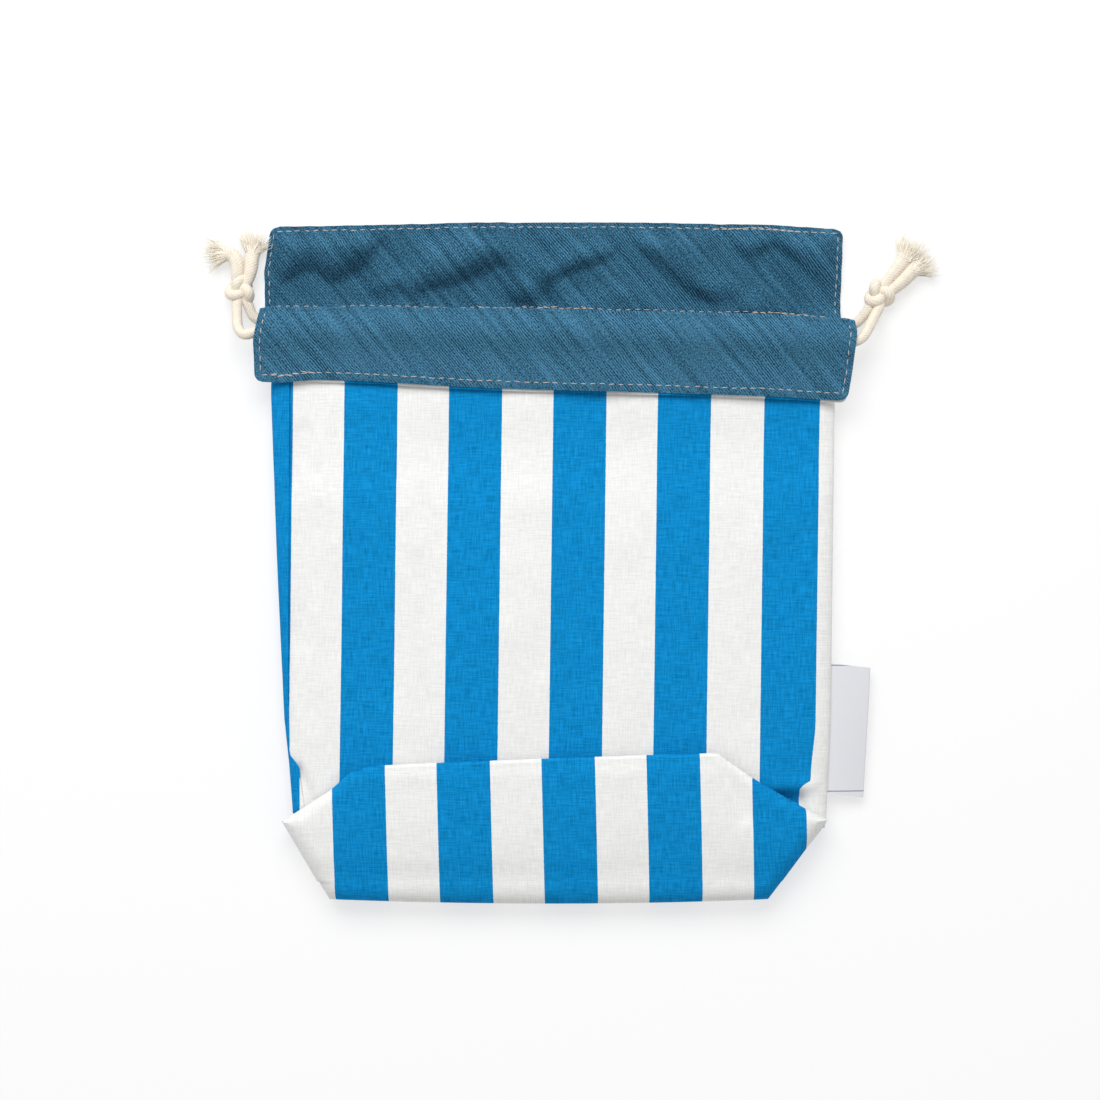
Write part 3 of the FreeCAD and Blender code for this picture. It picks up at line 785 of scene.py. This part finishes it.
def tube_faces(base, rings, sides):
    """Faces round a run of rings of points, closed at both ends."""
    faces = []
    last = base + (rings - 1) * sides
    for start in range(base, last, sides):
        for k in range(sides):
            a, b = start + k, start + (k + 1) % sides
            faces.append((a, b, b + sides, a + sides))
    faces.append(tuple(base + k for k in reversed(range(sides))))
    faces.append(tuple(last + k for k in range(sides)))
    return faces


def smooth_object(scene, name, verts, faces, finish):
    """An object with smooth faces and its material."""
    mesh = bpy.data.meshes.new(name)
    mesh.from_pydata(verts, [], faces)
    mesh.polygons.foreach_set("use_smooth", [True] * len(mesh.polygons))
    item = add_object(name, mesh)
    mesh.materials.append(finish_for(scene, finish))
    return item


def laid_cord(scene, name, line, diameter, lay, strands=8, flare=0.0, soft=0.04, step=0.0003, seed=1):
    """A soft-laid cord along a line: its strands show as shallow ridges that wind round it."""
    points, total = even(line, step)
    sides = 32
    rng = random.Random(seed)
    wander = rng.uniform(0.0, 6.0)
    verts, hollows, uvs = [], [], []
    normal = Vector((0.0, 0.0, 1.0))
    travelled = 0.0
    for i, point in enumerate(points):
        ahead = points[min(i + 1, len(points) - 1)] - points[max(i - 1, 0)]
        ahead.normalize()
        normal = (normal - ahead * normal.dot(ahead)).normalized()
        side = ahead.cross(normal)
        loosened = 1.0 + flare * smooth(total - 0.022, total - 0.004, travelled)
        lump = 1.0 + 0.05 * noise.noise(Vector((travelled * 160.0, wander, 0.0)))
        for k in range(sides):
            turn = 2.0 * math.pi * k / sides
            ridge = abs(math.cos(0.5 * strands * (turn - 2.0 * math.pi * travelled / lay)))
            radius = 0.5 * diameter * (1.0 - soft * (1.0 - ridge) ** 2 * 2.0) * lump * loosened
            verts.append(point + (normal * math.cos(turn) + side * math.sin(turn)) * radius)
            # Painted shade for the hollow between strands, strongest midway between ridges.
            hollows.append(0.7 * (1.0 - ridge) ** 2)
            uvs.append((travelled, turn * 0.5 * diameter))
        if i + 1 < len(points):
            travelled += (points[i + 1] - point).length
    item = smooth_object(scene, name, verts, tube_faces(0, len(points), sides), "cotton_cord")
    mesh = item.data
    layer = mesh.uv_layers.new(name="cord")
    for loop in mesh.loops:
        layer.data[loop.index].uv = uvs[loop.vertex_index]
    shade = mesh.attributes.new("hollow_shade", "FLOAT", "POINT")
    shade.data.foreach_set("value", hollows)
    return item, total


def fray(scene, name, line, count, reach, spread_out, seed, bias=(0.0, 0.0, 0.0)):
    """Loose fibres at a cord's cut end, fanning out along its last direction."""
    rng = random.Random(seed)
    end = line[-1]
    ahead = (line[-1] - line[-4]).normalized()
    across = ahead.cross(Vector((0.0, 0.0, 1.0))).normalized()
    verts, faces = [], []
    sides = 4
    steps = 6
    radius = 0.0026
    for strand in range(count):
        angle = rng.uniform(0.0, 2.0 * math.pi)
        out = math.sqrt(rng.random())
        start = end + (across * math.cos(angle) + Vector((0.0, 0.0, 1.0)) * math.sin(angle)) * out * radius
        start -= ahead * 0.004
        heading = ahead + across * (math.cos(angle) * out * spread_out + rng.uniform(-0.25, 0.25))
        heading += Vector(bias)
        heading.z += math.sin(angle) * out * 0.3
        heading.normalize()
        size = reach * rng.uniform(0.3, 1.0) + 0.004
        bend = Vector((rng.uniform(-1, 1), rng.uniform(-1, 1), rng.uniform(-0.6, 0.3))) * 0.28 * size
        thick = rng.uniform(0.00014, 0.00026)
        for s in range(steps + 1):
            t = s / steps
            centre = start + heading * size * t + bend * t * t
            centre.z = max(centre.z, 0.0006)
            side = heading.cross(Vector((0.0, 0.0, 1.0))).normalized()
            up = side.cross(heading).normalized()
            width = thick * (1.0 - 0.75 * t)
            for k in range(sides):
                turn = 2.0 * math.pi * k / sides
                verts.append(centre + (side * math.cos(turn) + up * math.sin(turn)) * width)
        faces.extend(tube_faces(strand * (steps + 1) * sides, steps + 1, sides))
    item = smooth_object(scene, name, verts, faces, "loose_fibres")
    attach(item, "drawcord")
    return item


LEFT_KNOT = Vector((-121.0, 104.9, 4.5))
RIGHT_KNOT = Vector((124.8, 103.3, 4.5))

# Each free cord runs out of its casing, through its knot and on to its frayed end.
FREE_CORDS = (
    (
        "left_back_cord",
        ("left_back_strand", "left_curled_tail"),
        (
            (-107.0, 94.0, 2.8), (-112.5, 92.8, 2.8), (-116.4, 94.4, 3.2), (-118.2, 99.6, 4.0),
            (-121.0, 104.9, 4.5), (-122.4, 108.8, 5.6), (-122.0, 113.4, 5.2), (-123.0, 117.4, 4.4),
            (-126.4, 119.4, 3.7), (-130.0, 118.6, 3.3),
        ),
        "left_curled_fray",
        False,
    ),
    (
        "left_front_cord",
        ("left_front_strand", "left_straight_tail"),
        (
            (-111.0, 88.9, 12.4), (-115.0, 87.8, 12.6), (-119.0, 86.8, 11.4), (-121.6, 89.6, 8.6),
            (-122.2, 94.8, 6.2), (-122.4, 100.0, 5.0), (-121.0, 104.9, 4.5), (-118.0, 108.6, 5.0),
            (-117.0, 112.8, 4.8), (-116.8, 116.8, 4.1), (-116.2, 120.0, 3.5), (-115.2, 122.2, 3.2),
        ),
        "left_straight_fray",
        True,
    ),
    (
        "right_back_cord",
        ("right_back_strand", "right_upper_tail"),
        (
            (106.5, 92.5, 2.8), (111.0, 91.8, 2.8), (115.2, 91.3, 3.0), (118.6, 94.6, 3.6),
            (121.6, 99.0, 4.2), (124.8, 103.3, 4.5), (127.0, 107.2, 5.0), (129.8, 110.6, 4.6),
            (132.6, 113.8, 4.0), (134.8, 117.0, 3.5), (136.4, 119.6, 3.2),
        ),
        "right_upper_fray",
        False,
    ),
    (
        "right_front_cord",
        ("right_front_strand", "right_lower_tail"),
        (
            (110.0, 84.0, 12.4), (113.6, 84.0, 12.6), (117.6, 85.6, 12.3), (120.2, 90.0, 9.6),
            (122.8, 94.8, 6.4), (125.4, 99.2, 4.9), (124.8, 103.3, 4.5), (128.8, 104.4, 4.9),
            (132.6, 107.2, 4.5), (135.6, 110.2, 3.8), (138.2, 113.0, 3.5), (140.6, 115.0, 3.2),
        ),
        "right_lower_fray",
        True,
    ),
)

# The pulled-up overhand knot that both strands share: three lobes, each passing over the next.
KNOT_LOBES = (
    (-1.9, -2.8, -2.0), (0.0, -4.5, 0.0), (1.9, -2.8, 2.0), (1.4, 0.7, 0.0),
    (-1.6, 3.1, -2.0), (-4.0, 2.4, 0.0), (-3.4, -0.2, 2.0), (0.0, -1.6, 0.0),
    (3.4, -0.2, -2.0), (4.0, 2.4, 0.0), (1.6, 3.1, 2.0), (-1.4, 0.7, 0.0),
    (-1.9, -2.8, -2.0),
)

# The stretches inside the casings lie a little slack.
CASING_CORDS = (
    (
        "back_casing_cord", "back_cord", "drawcord",
        (
            (-107.0, 94.0, 2.6), (-70.0, 93.7, 2.6), (-30.0, 93.8, 2.6), (15.0, 93.1, 2.6),
            (60.0, 93.2, 2.6), (106.5, 92.6, 2.6),
        ),
    ),
    (
        "cuff_cord", "front_cord", "front_cord",
        (
            (-111.5, 88.6, 12.35), (-65.0, 88.2, 12.35), (-10.0, 87.2, 12.35), (55.0, 85.9, 12.35),
            (111.0, 83.9, 12.35),
        ),
    ),
)


class SACK_OT_cords(bpy.types.Operator):
    """Four free cords with frayed ends, the two stretches inside the casings, and the two knots"""

    bl_idname = "sack.cords"
    bl_label = "Cords and knots"

    def execute(self, context):
        scene = context.scene
        cord = scene.sack_cord
        for side, place, lean in (("left", LEFT_KNOT, 165.0), ("right", RIGHT_KNOT, 186.0)):
            turn = Matrix.Rotation(math.radians(lean), 3, "Z")
            line = route([place + turn @ Vector(point) for point in KNOT_LOBES])
            knot, _ = laid_cord(
                scene, f"{side}_knot_wraps", line, cord.diameter * 1.24, cord.lay, seed=len(side)
            )
            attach(knot, "drawcord")
            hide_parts(f"{side}_knot")
        for seed, (name, nodes, points, end, from_front) in enumerate(FREE_CORDS):
            line = route(points)
            free, total = laid_cord(
                scene, name, line, cord.diameter * 1.12, cord.lay, flare=0.45, seed=seed + 11
            )
            bias = (-0.35, 0.15, 0.0) if "left" in end else (0.0, 0.0, 0.0)
            loose = fray(scene, end, line, 260, 0.0052 if "right" in end else 0.0048, 0.7, seed + 31, bias)
            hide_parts(*nodes)
            if from_front:
                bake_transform(free)
            else:
                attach(free, "drawcord")
        for name, node, body, points in CASING_CORDS:
            stretch, _ = laid_cord(
                scene, name, route(points), cord.diameter * 0.97, cord.lay, step=0.0008, seed=5
            )
            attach(stretch, body)
            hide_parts(node)
        return {"FINISHED"}


# ---------------------------------------------------------------- body


class SACK_OT_body(bpy.types.Operator):
    """Front and back of striped cotton, and their twill linings"""

    bl_idname = "sack.body"
    bl_label = "Body"

    def execute(self, context):
        scene = context.scene
        cloth = scene.sack_cloth
        columns = spread(0.0, 1.0, 0.0062)
        tuck = [("tuck", a) for a in spread(130.0, 260.0, 18.0)]
        rows = tuck + [("wall", y) for y in spread(TUCK_FOLD_Y, 64.0, 1.6)]
        rows.append(("wall", 64.8))
        rows += [("rise", s) for s in spread(0.05, 1.0, 0.05)]

        def front(inset):
            def place(u, v):
                kind, value = v
                tip = smooth(-94.0, -100.5, {"tuck": TUCK_FOLD_Y, "rise": 0.0}.get(kind, value))
                u = 0.5 + (u - 0.5) * (1.0 - (0.016 + 0.05 * inset) * tip)
                if kind == "wall":
                    return front_place(u, value, inset)
                if kind == "rise":
                    share = -112.6 + 226.6 * u
                    end = fold_line(share) - 0.1
                    return front_place(u, 64.8 + (end - 64.8) * value, inset)
                at = front_place(u, TUCK_FOLD_Y, inset)
                radius = 0.4 + inset
                turn = math.radians(value)
                return Vector(
                    (at.x, TUCK_FOLD_Y + radius * math.cos(turn), at.z + radius * (1.0 + math.sin(turn)))
                )

            return place

        face = cloth_sheet(
            scene, "front_cloth", "striped_cotton", columns, rows, front(0.0), front_weave, cloth.cotton
        )
        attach(face, "bag")
        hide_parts("front_panel")
        inner = cloth_sheet(
            scene, "front_lining_cloth", "twill_lining", columns, rows, front(LINING_STEP), front_weave,
            cloth.twill
        )
        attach(inner, "bag")
        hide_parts("front_lining")

        round_columns = sorted(
            set(spread(0.0, 0.13, 0.005) + spread(0.13, 0.87, 0.0095) + spread(0.87, 1.0, 0.005))
        )
        bottom = [("bottom", a) for a in spread(-60.0, 0.0, 10.0)][:-1]
        back_rows = [("wall", y) for y in spread(BOTTOM_AXIS_Y, 94.0, 2.0)]
        back_rows += [("casing", s) for s in spread(0.04, 1.0, 0.04)]

        def back(inset):
            def place(u, v):
                kind, value = v
                if kind == "casing":
                    sides = (casing_right(100.0), casing_left(100.0))
                    end = casing_top(sides[0] + (sides[1] - sides[0]) * u)
                    return back_place(u, 94.0 + (end - 94.0) * value, inset)
                point = back_place(u, value if kind == "wall" else BOTTOM_AXIS_Y, inset)
                if point.y < -97.0:
                    wide = ear(point.y, point.x)
                    inner_x = 2.0 * (0.5 - u)
                    narrow = smooth(-97.0, -101.0, point.y)
                    flat = Vector((inner_x * (wide - 1.6 * inset), point.y, COTTON_FLOOR + inset))
                    edge = max(0.0, abs(inner_x) * 14.0 - 13.0)
                    flat.z += (6.5 - inset) * (1.0 - math.sqrt(max(0.0, 1.0 - edge * edge)))
                    point = point.lerp(flat, narrow)
                return point

            return place

        def back_weave(u, v, p):
            return ((p.x + 21.4) * MM, p.y * MM)

        reverse = [1.0 - c for c in reversed(round_columns)]
        outer = cloth_sheet(
            scene, "back_cloth", "striped_cotton", reverse, back_rows, back(0.0), back_strip_weave,
            cloth.cotton
        )
        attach(outer, "bag")
        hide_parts("back_panel")

        lining_rows = [("wall", y) for y in spread(-118.0, 80.0, 2.2)]
        lining_rows += [("wall", y) for y in spread(81.0, 94.0, 1.3)]
        lining_rows += [("casing", s) for s in spread(0.028, 1.0, 0.028)]
        flat_back = back(LINING_STEP)

        def raised(u, v):
            point = flat_back(u, v)
            point.z += casing_relief(point.x, point.y) * smooth(80.0, 92.0, point.y)
            if v[0] == "casing" and v[1] > 0.96:
                point.z -= 0.3
            return point

        casing = cloth_sheet(
            scene, "back_lining_cloth", "twill_lining", reverse, lining_rows, raised, back_weave,
            cloth.twill
        )
        # The back casing gets the darker copy of the twill: painted shade.
        casing.data.materials[0] = finish_for(scene, "casing_twill_painted_shade")
        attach(casing, "bag")
        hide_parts("back_lining")
        return {"FINISHED"}


def ear(y, x):
    """Half width of the folded base at a place along it, left or right."""
    if x < 0:
        return straight(((-129.3, 86.2), (-99.4, 104.6), (-79.6, 68.0), (-77.6, 63.0)), y)
    return straight(((-129.6, 81.2), (-98.6, 104.9), (-73.6, 64.5)), y)


def back_strip_weave(u, v, p):
    """The back's stripes: a blue one comes round the left side."""
    return ((p.x + 118.0) * MM, p.y * MM)


# ---------------------------------------------------------------- cuff


def cuff_left(share):
    return straight(((0.0, -112.8), (0.45, -115.0), (1.0, -114.6)), share)


def cuff_right(share):
    return straight(((0.0, 114.6), (0.12, 115.2), (0.6, 113.6), (1.0, 111.6)), share)


def cuff_depth(x):
    """From the cuff's fold down to its opening edge."""
    return along(((-115.0, 27.6), (0.0, 31.0), (115.0, 31.6)), x)


def cuff_point(u, v, level, radius, trim, relief):
    """A point of the cuff: round its fold, then down over the front."""
    kind, value = v
    if kind == "fold":
        x = cuff_left(0.0) + (cuff_right(0.0) - cuff_left(0.0)) * u
        turn = math.radians(value)
        rounded = smooth(0.97, 1.0, abs(2.0 * u - 1.0))
        x -= math.copysign(0.4 * rounded * math.cos(turn), x)
        return Vector(
            (x, fold_line(x) + radius * math.cos(turn) * (1.0 - 0.6 * rounded),
            CUFF_AXIS.z + radius * math.sin(turn))
        )
    ends = (cuff_left(value) + trim, cuff_right(value) - trim)
    x = ends[0] + (ends[1] - ends[0]) * u
    depth = (cuff_depth(x) - trim) * value
    corner = 3.2
    away = cuff_depth(x) - depth
    if away < corner:
        pull = corner - math.sqrt(max(0.0, corner**2 - (corner - away) ** 2))
        x -= math.copysign(pull, x) * smooth(0.9, 1.0, abs(2.0 * u - 1.0))
    y = fold_line(x) - depth
    return Vector((x, y, level + relief(x, y) * smooth(0.0, 4.0, depth)))


class SACK_OT_cuff(bpy.types.Operator):
    """The front casing, turned down as a cuff: its cotton underneath and its twill outside"""

    bl_idname = "sack.cuff"
    bl_label = "Cuff"

    def execute(self, context):
        scene = context.scene
        cloth = scene.sack_cloth
        columns = spread(0.0, 1.0, 0.0052)
        rows = [("fold", a) for a in spread(-90.0, 90.0, 15.0)]
        rows += [("fall", s) for s in spread(0.02, 0.84, 0.035)]
        rows += [("fall", s) for s in spread(0.86, 1.0, 0.02)]
        for name, node, slot, level, radius, thickness in (
            ("cuff_cotton_cloth", "cuff_cotton", "striped_cotton", OVER_COTTON, 0.4, cloth.cotton),
            ("cuff_lining_cloth", "cuff_lining", "twill_lining", OVER_TWILL, 1.05, cloth.twill),
        ):
            cover = 0.0 if slot == "striped_cotton" else 1.0

            def place(u, v, level=level, radius=radius, cover=cover):
                relief = cuff_relief if cover else cuff_under_relief
                point = cuff_point(u, v, level, radius, 0.0 if cover else 0.5, relief)
                if cover and v[0] == "fall":
                    point.y += 1.3 * v[1] * smooth(-105.0, -90.0, point.x)
                    if v[1] > 0.95:
                        point.z -= 0.35 * smooth(0.95, 1.0, v[1])
                if not cover and v[0] == "fall":
                    point.z -= 0.1
                return point

            weave = front_weave if slot == "striped_cotton" else plain_weave
            piece = cloth_sheet(scene, name, slot, columns, rows, place, weave, thickness)
            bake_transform(piece)
            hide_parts(node)
        return {"FINISHED"}


def plain_weave(u, v, p):
    return (p.x * MM, p.y * MM)


# ---------------------------------------------------------------- base


def flap_edges(share):
    """Left and right edge of the folded base: 0 to 1 up to its tips, 1 to 2 up to its upper fold."""
    left = Vector((
        straight(
            ((0.0, -91.2), (1.0, -104.6), (1.5, -85.6), (1.7, -82.0), (1.9, -77.8), (2.0, -73.6)), share
        ),
        straight(
            ((0.0, BOTTOM_AXIS_Y), (1.0, -99.4), (1.5, -87.0), (1.7, -83.8), (1.9, -80.0), (2.0, -79.1)),
            share
        ),
    ))
    right = Vector((
        straight(((0.0, 87.2), (1.0, 104.6), (1.2, 96.8), (1.7, 75.4), (1.95, 65.2), (2.0, 63.4)), share),
        straight(
            ((0.0, BOTTOM_AXIS_Y), (1.0, -98.6), (1.2, -94.9), (1.7, -82.4), (1.95, -75.4), (2.0, -74.0)),
            share
        ),
    ))
    return left, right


def flap_point(u, v, inset):
    """A point of the folded base: up round the bottom fold, over the front, and round its upper fold."""
    kind, value = v
    share = {"bottom": 0.0, "top": 2.0}.get(kind, value)
    left, right = flap_edges(share)
    side = 2.0 * u - 1.0
    if kind == "bottom":
        turn = math.radians(value)
        radius = 6.95 - inset
        y = BOTTOM_AXIS_Y + (radius + 1.7 * (1.0 - side * side)) * math.cos(turn)
        z = BOTTOM_AXIS_Z + (radius - max(0.0, math.sin(turn))) * math.sin(turn)
        x = side * (ear(min(y, BOTTOM_AXIS_Y), side) - 2.8 * inset)
    else:
        trim = 2.8 * inset / (right.x - left.x)
        u = trim + (1.0 - 2.0 * trim) * u
        x = left.x + (right.x - left.x) * u
        y = left.y + (right.y - left.y) * u + 0.35 * max(0.0, share - 1.0) * (1.0 - side * side)
        z = 13.15 + 1.1 * share - inset
    edge = max(0.0, abs(side) * 12.0 - 11.0)
    drop = 1.0 - math.sqrt(max(0.0, 1.0 - edge * edge))
    if kind == "top":
        turn = math.radians(value)
        y += (1.25 - inset) * math.cos(turn) * (1.0 - 0.9 * drop)
        z = FLAP_AXIS_Z + (1.25 - inset) * math.sin(turn) - 1.2 * drop
    elif share <= 1.0:
        z += (BOTTOM_AXIS_Z - 0.1 - z) * drop
    elif kind == "flat":
        z -= drop * straight(((1.0, 6.2), (1.25, 2.4), (2.0, 1.2)), share)
    if kind == "flat":
        z += flap_relief(x, y) * (1.0 - drop) * smooth(0.0, 0.45, share) * smooth(2.0, 1.75, share)
    return Vector((x, y, z))


class SACK_OT_base(bpy.types.Operator):
    """The boxed base, folded up on the front, and the tuck behind it"""

    bl_idname = "sack.base"
    bl_label = "Folded base"

    def execute(self, context):
        scene = context.scene
        cloth = scene.sack_cloth
        columns = sorted(
            set(spread(0.0, 0.05, 0.004) + spread(0.05, 0.95, 0.0075) + spread(0.95, 1.0, 0.004))
        )
        rows = [("bottom", a) for a in spread(270.0, 92.0, 8.0)]
        rows += [("flat", s) for s in spread(0.0, 1.5, 0.055)]
        rows += [("flat", s) for s in spread(1.53, 2.0, 0.04)]
        rows += [("top", a) for a in spread(78.0, -60.0, 14.0)]

        def flap_weave(u, v, p):
            return ((p.x + 6.95 + 0.0236 * p.y) * MM, p.y * MM)

        for name, node, slot, inset, thickness in (
            ("base_cotton_cloth", "base_cotton", "striped_cotton", 0.0, cloth.cotton),
            ("base_lining_cloth", "base_lining", "twill_lining", LINING_STEP, cloth.twill),
        ):
            piece = cloth_sheet(
                scene, name, slot, columns, rows, lambda u, v, i=inset: flap_point(u, v, i), flap_weave,
                thickness
            )
            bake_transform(piece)
            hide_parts(node)

        tuck_rows = spread(0.92, 2.0, 0.09)
        for name, node, slot, level, thickness in (
            ("tuck_cotton_cloth", "tuck_cotton", "striped_cotton", OVER_COTTON, cloth.cotton),
            ("tuck_lining_cloth", "tuck_lining", "twill_lining", OVER_TWILL, cloth.twill),
        ):

            def place(u, v, level=level):
                side = 2.0 * u - 1.0
                left, right = flap_edges(v)
                place = left.lerp(right, u)
                return Vector((place.x - side * 2.4, max(place.y - 0.7, TUCK_FOLD_Y + 0.9), level))

            piece = cloth_sheet(scene, name, slot, columns, tuck_rows, place, plain_weave, thickness)
            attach(piece, "tuck")
            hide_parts(node)
        return {"FINISHED"}


# ---------------------------------------------------------------- topstitching


def stitch_line(scene, name, node, body, places, uneven=0.12, seed=1, messy=()):
    """A row of machine stitches along places on the cloth: one stitch, copied along the line."""
    cloth = scene.sack_cloth
    line, total = even([p * MM for p in places], 0.0004)
    rng = random.Random(seed)
    bpy.ops.object.select_all(action="DESELECT")
    bpy.ops.mesh.primitive_uv_sphere_add(segments=8, ring_count=5, radius=0.5)
    model = bpy.context.active_object
    shape = [vertex.co.copy() for vertex in model.data.vertices]
    polygons = [tuple(p.vertices) for p in model.data.polygons]
    bpy.data.objects.remove(model)
    verts, faces = [], []
    travelled = 0.4 * cloth.stitch_pitch
    step = total / (len(line) - 1)
    while travelled < total - 0.4 * cloth.stitch_pitch:
        size = cloth.stitch * rng.uniform(0.88, 1.08)
        index = min(len(line) - 2, max(1, round(travelled / step)))
        reach = max(1, round(0.5 * size / step))
        a = line[max(0, index - reach)]
        b = line[min(len(line) - 1, index + reach)]
        ahead = (b - a).normalized()
        side = Vector((0.0, 0.0, 1.0)).cross(ahead).normalized()
        up = ahead.cross(side)
        lean = rng.uniform(-uneven, uneven)
        centre = line[index] + side * rng.uniform(-0.00012, 0.00012)
        doubled = any(s <= travelled / total <= e for s, e in messy)
        for extra in range(2 if doubled else 1):
            shift = side * (0.0005 * extra * rng.uniform(-1.2, 1.2))
            tilt = lean + extra * rng.uniform(-0.3, 0.3)
            base = len(verts)
            for p in shape:
                along_line = p.z * size * (1.25 if extra else 1.0)
                droop = -0.00018 * (2.0 * p.z) ** 2
                across = side * (p.x * 0.0004 + tilt * along_line)
                verts.append(centre + shift + ahead * along_line + across + up * (p.y * 0.0004 + droop))
            faces.extend(tuple(base + i for i in polygon) for polygon in polygons)
        travelled += cloth.stitch_pitch * rng.uniform(0.95, 1.05) * (0.8 if doubled else 1.0)
    item = smooth_object(scene, name, verts, faces, "topstitch_thread")
    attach(item, body)
    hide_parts(node)
    return item


def on_casing(x, y):
    """A place on top of the back casing's lining."""
    return Vector((x, y, COTTON_FLOOR + LINING_STEP + casing_relief(x, y) + STITCH_LIFT))


def on_cuff(x, y):
    """A place on top of the cuff's lining."""
    soft = smooth(0.0, 4.0, fold_line(x) - y)
    return Vector((x, y, OVER_TWILL + cuff_relief(x, y) * soft + STITCH_LIFT))


class SACK_OT_stitches(bpy.types.Operator):
    """Topstitching round the back casing and the cuff"""

    bl_idname = "sack.stitches"
    bl_label = "Topstitching"

    def execute(self, context):
        scene = context.scene
        inset = 1.9
        top = [
            on_casing(x, casing_top(x) - inset + 0.25 * swell(x, 0.0, 14.0, 9.0))
            for x in spread(-107.8, 109.4, 2.0)
        ]
        stitch_line(
            scene, "casing_top_thread", "casing_top_stitches", "bag", top, seed=2, messy=((0.78, 0.93),)
        )
        foot = [
            on_casing(x, fold_line(x) + 2.2 + 0.5 * swell(x, 0.0, 16.0, 10.0))
            for x in spread(-108.0, 107.0, 2.0)
        ]
        stitch_line(
            scene, "casing_lower_thread", "casing_lower_stitches", "bag", foot, seed=3,
            messy=((0.36, 0.56), (0.86, 0.96))
        )
        left = [on_casing(casing_left(y) + inset, y) for y in spread(99.2, TOP_EDGE - 1.4, 1.5)]
        stitch_line(scene, "casing_left_thread", "casing_left_stitches", "bag", left, seed=4)
        right = [on_casing(casing_right(y) - inset - 0.3, y) for y in spread(95.4, TOP_EDGE - 2.4, 1.5)]
        stitch_line(scene, "casing_right_thread", "casing_right_stitches", "bag", right, seed=5)

        def lower_y(x):
            return fold_line(x) - cuff_depth(x) + 1.3 * smooth(-105.0, -90.0, x) + 2.7

        lower = [
            on_cuff(x, lower_y(x) + 0.2 * swell(x, 0.0, 15.0, 11.0)) for x in spread(-112.4, 110.6, 2.0)
        ]
        stitch_line(
            scene, "cuff_lower_thread", "cuff_lower_stitches", "cuff", lower, seed=6, messy=((0.01, 0.09),)
        )
        sides = []
        for reach, sign in ((cuff_left, -1), (cuff_right, 1)):
            line = []
            for share in spread(0.03, 0.95, 0.05):
                x = reach(share) - sign * 2.4
                line.append(on_cuff(x, fold_line(x) - cuff_depth(x) * share))
            sides.append(line)
        stitch_line(scene, "cuff_left_thread", "cuff_left_stitches", "cuff", sides[0], seed=7)
        stitch_line(scene, "cuff_right_thread", "cuff_right_stitches", "cuff", sides[1], seed=8)
        return {"FINISHED"}


# ---------------------------------------------------------------- label


class SACK_OT_label(bpy.types.Operator):
    """The woven label: a tape folded double, its cut ends in the side seam"""

    bl_idname = "sack.label"
    bl_label = "Label"

    def execute(self, context):
        scene = context.scene
        start = low("label").x - 1.9
        end = high("label").x
        bottom = low("label").y
        top = high("label").y
        middle = 0.5 * (bottom + top)
        half = 0.28
        rows = [("over", s) for s in spread(0.0, 1.0, 0.08)]
        rows += [("round", a) for a in spread(75.0, -75.0, 25.0)]
        rows += [("under", s) for s in spread(1.0, 0.0, 0.08)]

        def place(u, v):
            kind, value = v
            y = bottom + (top - bottom) * u
            lean = 0.055 * (y - middle)
            wave = 0.35 * math.sin(0.09 * (y - middle) + 0.6)
            if kind == "round":
                turn = math.radians(value)
                x = end - half + half * math.cos(turn)
                z = half * math.sin(turn)
            else:
                x = start + (end - half - start) * value
                z = half if kind == "over" else -half
            reach = (x - start) / (end - start)
            return Vector(
                (x + lean * reach, y - 1.8 * reach, SIDE_LEVEL + z + wave * reach - 1.6 * reach * reach)
            )

        def weave(u, v, p):
            return (p.x * MM, (p.y - middle) * MM)

        piece = cloth_sheet(
            scene, "seam_label", "woven_label", spread(0.0, 1.0, 0.02), rows, place, weave, 0.26 * MM
        )
        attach(piece, "label")
        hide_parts("label")
        return {"FINISHED"}


# ---------------------------------------------------------------- panel and registration


STEPS = (
    SACK_OT_stage,
    SACK_OT_cords,
    SACK_OT_body,
    SACK_OT_cuff,
    SACK_OT_base,
    SACK_OT_stitches,
    SACK_OT_label,
)


class SACK_PT_panel(bpy.types.Panel):
    """Lists the sack's sizes, colours and building steps"""

    bl_label = "Drawstring sack"
    bl_idname = "SACK_PT_panel"
    bl_space_type = "VIEW_3D"
    bl_region_type = "UI"
    bl_category = "Sack"

    def draw(self, context):
        layout = self.layout
        for group in (context.scene.sack_cloth, context.scene.sack_cord, context.scene.sack_stage):
            box = layout.box()
            for key in group.bl_rna.properties.keys():
                if key not in ("rna_type", "name"):
                    box.prop(group, key)
        for step in STEPS:
            layout.operator(step.bl_idname)


CLASSES = (SackCloth, SackCord, SackStage, *STEPS, SACK_PT_panel)


def register():
    for item in CLASSES:
        bpy.utils.register_class(item)
    bpy.types.Scene.sack_cloth = bpy.props.PointerProperty(type=SackCloth)
    bpy.types.Scene.sack_cord = bpy.props.PointerProperty(type=SackCord)
    bpy.types.Scene.sack_stage = bpy.props.PointerProperty(type=SackStage)


def unregister():
    del bpy.types.Scene.sack_stage
    del bpy.types.Scene.sack_cord
    del bpy.types.Scene.sack_cloth
    for item in reversed(CLASSES):
        bpy.utils.unregister_class(item)


def main():
    """Build the sack step by step."""
    register()
    for step in STEPS:
        group, call = step.bl_idname.split(".")
        getattr(getattr(bpy.ops, group), call)()


if __name__ == "__main__":
    main()
